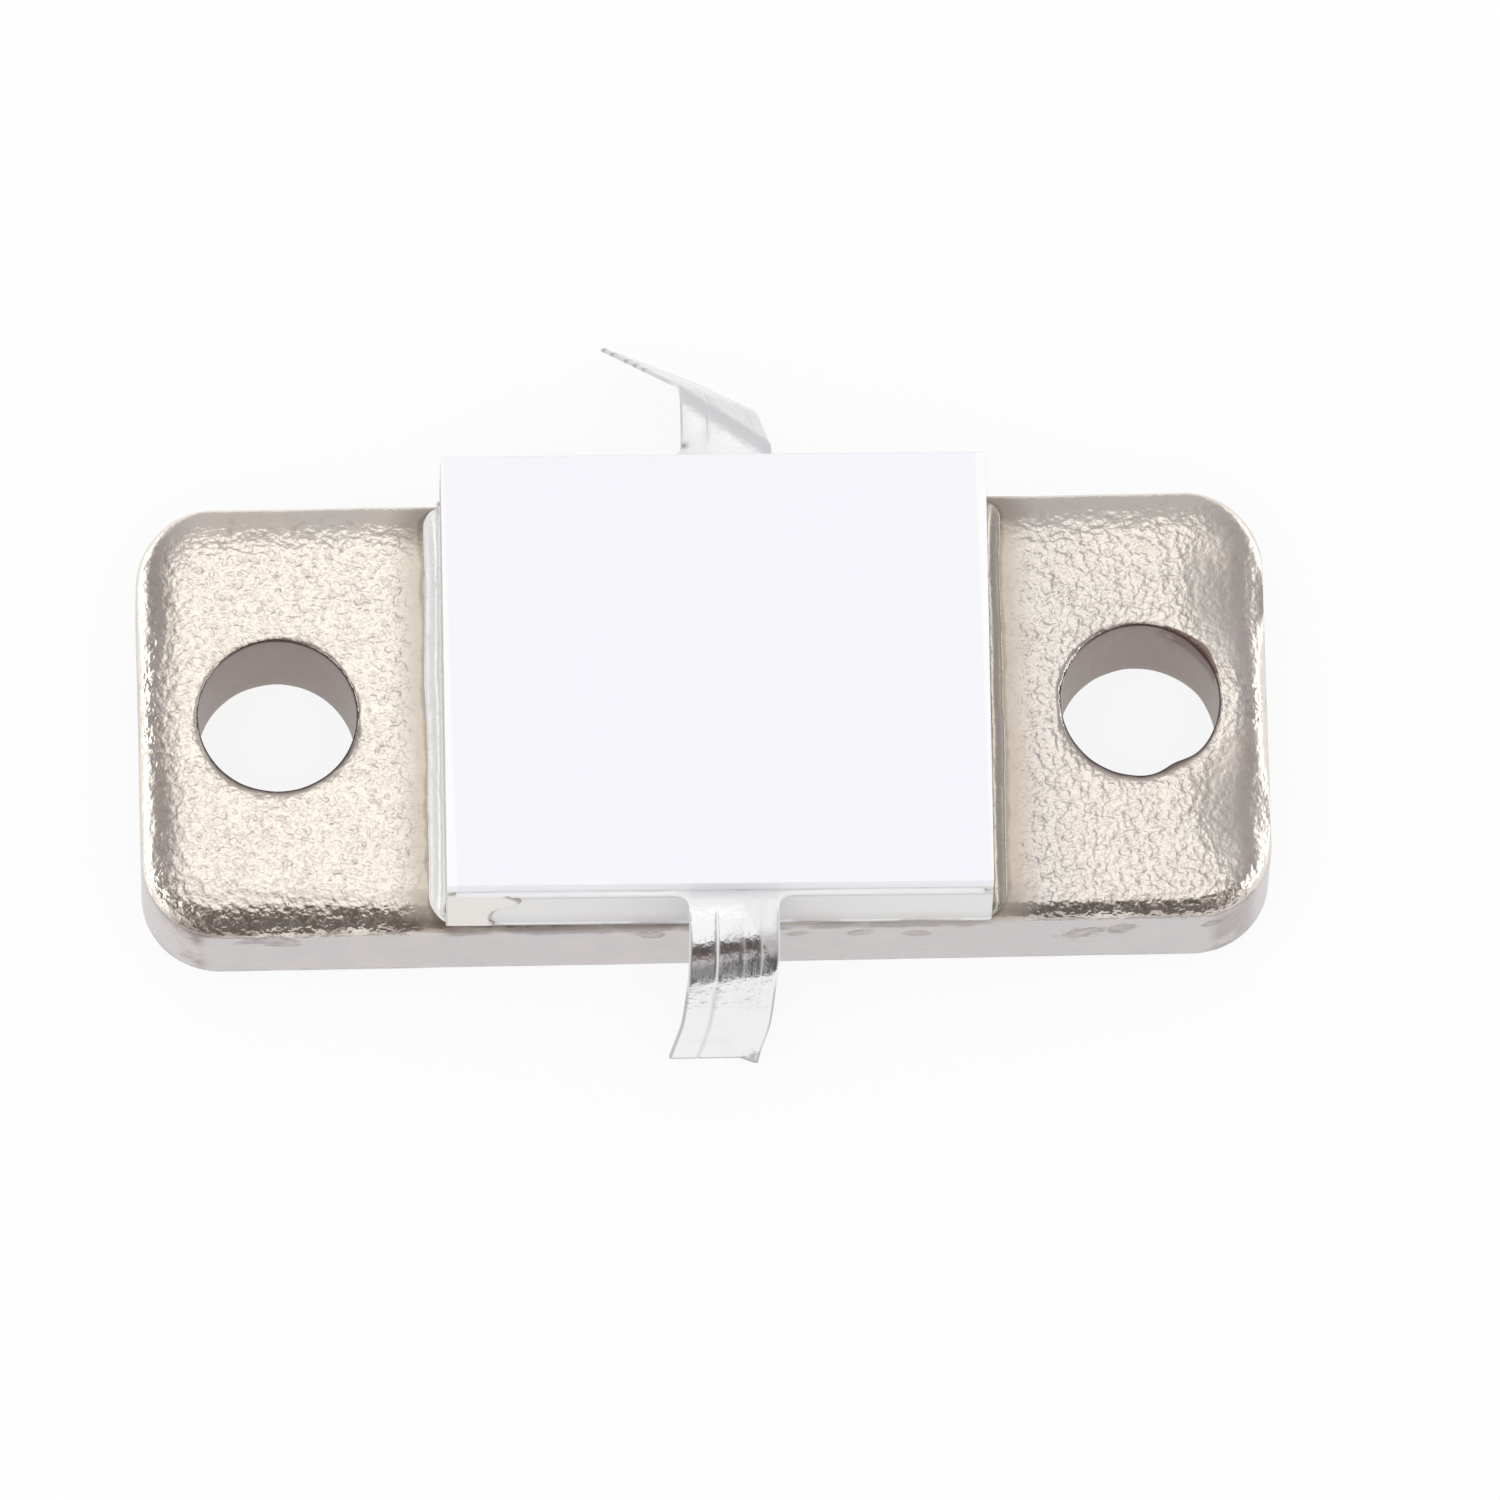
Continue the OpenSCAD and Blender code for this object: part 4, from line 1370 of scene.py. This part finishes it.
def seen_rays(graph):
    """1 for the rays that see the background: those from the camera, off gloss and through glass."""
    kinds = ["Is Camera Ray", "Is Glossy Ray", "Is Transmission Ray"]
    camera, glossy, through = [graph.node("ShaderNodeLightPath", output=kind) for kind in kinds]
    return graph.most(graph.most(camera, glossy), through)


def floor_finish(stage):
    """A white floor that keeps the object's shadow."""
    material, graph = new_material("white_floor")
    grain = graph.noise(graph.node("ShaderNodeTexCoord", output="Object"), 6)
    paint = graph.mix(grain, (0.96, 0.96, 0.96), (0.98, 0.98, 0.98))
    dull = graph.node("ShaderNodeBsdfDiffuse", inputs={"Color": paint})
    white = graph.node("ShaderNodeEmission", inputs={"Color": (*WHITE, 1), "Strength": 1.0})
    share = seen_rays(graph) * stage.floor_glow
    mixed = graph.node("ShaderNodeMixShader", inputs={0: share, 1: dull, 2: white})
    graph.node("ShaderNodeOutputMaterial", inputs={"Surface": mixed})
    return material


# The tent's brightest place, and how bright the tent is so many degrees from it towards the front, back
# and sides
TENT_MIDDLE = Vector((0.0, 0.3338, 0.9426))
TENT_FRONT = [
    (0, 1.0), (8, 0.86), (15, 0.7), (25, 0.56), (35, 0.41), (45, 0.26), (54, 0.16), (64, 0.1), (80, 0.085)
]
TENT_BACK = [(0, 1.0), (7, 0.8), (13, 0.62), (18, 0.5), (25, 0.4), (50, 0.4), (70, 0.41)]
TENT_LEFT = [
    (0, 1.0), (8, 0.86), (14, 0.7), (22, 0.56), (33, 0.34), (45, 0.24), (60, 0.2), (68, 0.3), (76, 0.8),
    (81, 1.5), (96, 1.4),
]
TENT_RIGHT = [
    (0, 1.0), (7, 0.8), (13, 0.58), (21, 0.38), (33, 0.31), (56, 0.27), (66, 0.36), (74, 0.6), (79, 1.6),
    (85, 1.6), (92, 0.8),
]
LAMP_ASIDE = (-0.1, -0.35)


def level_at(table, degrees):
    """The level that a table gives at an angle."""
    for (low, one), (high, other) in zip(table, table[1:]):
        if degrees < high:
            return between(one, other, max(0.0, degrees - low) / (high - low))
    return table[-1][1]


def tent_glow(place, near):
    """Colour of the light that comes from a point of the tent or, near the object, of its cards."""
    start = Vector((clamp(place.x, -12 * MM, 12 * MM), clamp(place.y, -5 * MM, 5 * MM), 2.7 * MM))
    way = (place - start).normalized()
    degrees = math.degrees(math.acos(clamp(way.dot(TENT_MIDDLE), -1.0, 1.0)))
    aside, ahead = way.x - TENT_MIDDLE.x, TENT_MIDDLE.y - way.y
    total = max(aside * aside + ahead * ahead, 1e-9)
    to_front = max(0.0, ahead) ** 2 / total
    to_back = max(0.0, -ahead) ** 2 / total
    level = to_front * level_at(TENT_FRONT, degrees) + to_back * level_at(TENT_BACK, degrees)
    level += (1 - to_front - to_back) * level_at(TENT_LEFT if aside < 0 else TENT_RIGHT, degrees)
    level *= bpy.context.scene.resistor_stage.window_level
    tint = between(Vector((1.0, 0.97, 1.02)), Vector((1.06, 0.97, 0.95)), to_front)
    tone = level * between(tint, WHITE, rise(level, 0.4, 0.9))
    if near:
        x, y, z = place / MM
        strip = rise(abs(x - 0.3), 3.5, 2) * rise(-y, 12, 14)
        blots = 0.6 + 1.8 * waves(place.x, place.z, 6.0, 0.9, 3.5)
        tone = between(tone, Vector((1.0, 0.98, 1.0)) * max(0.06, 0.38 * blots), strip)
        tone = between(tone, Vector((0.30, 0.20, 0.19)), strip * band(z, 12.5, 13, 13.5, 14))
        tone = between(tone, Vector((0.55, 0.52, 0.52)), strip * band(z, 8.2, 9.2, 12, 12.8))
    return tone


class RESISTOR_OT_stage(bpy.types.Operator):
    """Sets up the floor, the room's light, the lamp, the cards and the camera"""

    bl_idname = "resistor.stage"
    bl_label = "Stage"

    def execute(self, context):
        stage = context.scene.resistor_stage
        self.floor(stage)
        self.room(context, stage)
        self.lamp(context, stage)
        self.tent(stage)
        self.camera(context, stage)
        return {"FINISHED"}

    def floor(self, stage):
        """A plain floor just under the flange."""
        reach, low = 3.0, -0.002 * MM
        corners = [(-reach, -reach, low), (reach, -reach, low), (reach, reach, low), (-reach, reach, low)]
        floor = new_piece("floor", corners, [(0, 1, 2, 3)], floor_finish(stage), smooth=False)

    def room(self, context, stage):
        """White where it is seen, and a plain level on dull surfaces."""
        world = bpy.data.worlds.new("white_room")
        world.use_nodes = True
        context.scene.world = world
        graph = Graph(world.node_tree)
        level, seen = [
            graph.node("ShaderNodeBackground", inputs={"Color": (*WHITE, 1), "Strength": strength})
            for strength in (stage.sky_level, 1.0)
        ]
        mixed = graph.node("ShaderNodeMixShader", inputs={0: seen_rays(graph), 1: level, 2: seen})
        graph.node("ShaderNodeOutputWorld", inputs={"Surface": mixed})

    def lamp(self, context, stage):
        """A wide round lamp overhead. Its power gives its face the level that is asked for."""
        data = bpy.data.lights.new("overhead_lamp", "AREA")
        data.shape = "DISK"
        data.size = 2 * stage.lamp_radius
        data.energy = stage.lamp_level * math.pi * math.pi * stage.lamp_radius**2
        lamp = bpy.data.objects.new("overhead_lamp", data)
        place = Vector((*LAMP_ASIDE, stage.lamp_height))
        lamp.location = place
        lamp.rotation_euler = place.to_track_quat("Z", "Y").to_euler()
        lamp.visible_camera = False
        lamp.visible_glossy = False
        context.scene.collection.objects.link(lamp)

    def tent(self, stage):
        """A dome of light and a low ring of cards, which only gloss sees."""
        columns, rows = 96, 60
        points = []
        for row in range(rows):
            sine, cosine = quarter(row / rows)
            for column in range(columns):
                angle = 2 * math.pi * column / columns
                flat = Vector((math.cos(angle), math.sin(angle), 0)) * cosine
                points.append(stage.tent_radius * (flat + Vector((0, 0, sine))))
        points.append(Vector((0, 0, stage.tent_radius)))
        dome = numbered(columns, rows)
        faces = skin(dome, turned=True)
        faces += [(dome[-1][(k + 1) % columns], dome[-1][k], rows * columns) for k in range(columns)]
        glow = [tent_glow(point, False) for point in points]
        ring = []
        for place, outward in rounded_outline(28.5 * MM, 15.5 * MM, 9 * MM, 0.6 * MM):
            inward = 1.5 * MM * (1 if outward.y < 0 else -1) * outward.y**2
            ring.append(Vector((place.x, place.y - inward, 0)))
        heights = 24
        faces += skin(numbered(len(ring), heights + 1, len(points)), turned=True)
        for row in range(heights + 1):
            up = Vector((0, 0, stage.card_height * row / heights))
            points += [place + up for place in ring]
            glow += [tent_glow(place + up, True) for place in ring]
        self.canopy(points, faces, glow)
        tent = new_piece("studio_tent", points, faces, tent_finish())
        attribute = tent.data.color_attributes.new("glow", "FLOAT_COLOR", "POINT")
        attribute.data.foreach_set("color", [part for tone in glow for part in (*tone, 1.0)])
        tent.visible_camera = False
        tent.visible_diffuse = False
        tent.visible_transmission = False
        tent.visible_shadow = False

    def canopy(self, points, faces, glow):
        """A narrow bent card over the front lead: bright overhead, with a crisp dark end in front."""
        middle = Vector((0.3, -6.2, 4.5)) * MM
        radius = 20 * MM
        turns, columns = 48, 12
        faces += skin(numbered(columns + 1, turns + 1, len(points)), closed=False)
        for row in range(turns + 1):
            angle = math.radians(between(36, 114, row / turns))
            for column in range(columns + 1):
                aside = between(-4.2 * MM, 4.2 * MM, column / columns)
                points.append(middle + Vector((aside, -radius * math.cos(angle), radius * math.sin(angle))))
                stain = noise.noise(Vector((aside / (1.3 * MM), angle * 9, 1.0)))
                dark = Vector((0.11, 0.085, 0.085)) * (1 + 0.8 * stain)
                glow.append(between(dark, WHITE * 1.05, rise(math.degrees(angle) + 2 * stain, 62.5, 68)))

    def camera(self, context, stage):
        """A far camera in front and above, rolled a little."""
        turned, height, roll = stage.camera_turn, stage.camera_height, stage.camera_roll
        across = Vector((math.cos(turned), -math.sin(turned), 0))
        level = Vector((-math.sin(turned), -math.cos(turned), 0)) * math.cos(height)
        back = level + Vector((0, 0, math.sin(height)))
        up = back.cross(across)
        right = across * math.cos(roll) - up * math.sin(roll)
        upward = across * math.sin(roll) + up * math.cos(roll)
        place = right * stage.aim_right + upward * stage.aim_up + back * stage.camera_distance
        data = bpy.data.cameras.new("camera")
        data.sensor_width = 36.0
        data.lens = data.sensor_width * stage.camera_distance / stage.picture_width
        camera = bpy.data.objects.new("camera", data)
        turning = Matrix((right, upward, back)).transposed().to_4x4()
        camera.matrix_world = Matrix.Translation(place) @ turning
        context.scene.collection.objects.link(camera)
        context.scene.camera = camera
        context.scene.view_settings.view_transform = "Standard"


class RESISTOR_PT_panel(bpy.types.Panel):
    """Lists the pieces and their sizes"""

    bl_label = "Power resistor"
    bl_idname = "RESISTOR_PT_panel"
    bl_space_type = "VIEW_3D"
    bl_region_type = "UI"
    bl_category = "Resistor"

    def draw(self, context):
        for operator in OPERATORS:
            self.layout.operator(operator.bl_idname)
        for name in GROUPS:
            group = getattr(context.scene, name)
            box = self.layout.box()
            for key in group.bl_rna.properties.keys():
                if key not in ("rna_type", "name"):
                    box.prop(group, key)


OPERATORS = [
    RESISTOR_OT_flange,
    RESISTOR_OT_base_solder,
    RESISTOR_OT_ceramic,
    RESISTOR_OT_leads,
    RESISTOR_OT_glue,
    RESISTOR_OT_cover,
    RESISTOR_OT_stage,
]


def register():
    """Registers the classes and gives the scene its groups of sizes."""
    for item in [*GROUPS.values(), *OPERATORS, RESISTOR_PT_panel]:
        bpy.utils.register_class(item)
    for name, group in GROUPS.items():
        setattr(bpy.types.Scene, name, bpy.props.PointerProperty(type=group))


def unregister():
    """Takes away what register gave."""
    for name in GROUPS:
        delattr(bpy.types.Scene, name)
    for item in [RESISTOR_PT_panel, *reversed(OPERATORS), *reversed(GROUPS.values())]:
        bpy.utils.unregister_class(item)


def main():
    """Builds the whole object and its stage."""
    register()
    for operator in OPERATORS:
        group, name = operator.bl_idname.split(".")
        getattr(getattr(bpy.ops, group), name)()


if __name__ == "__main__":
    main()
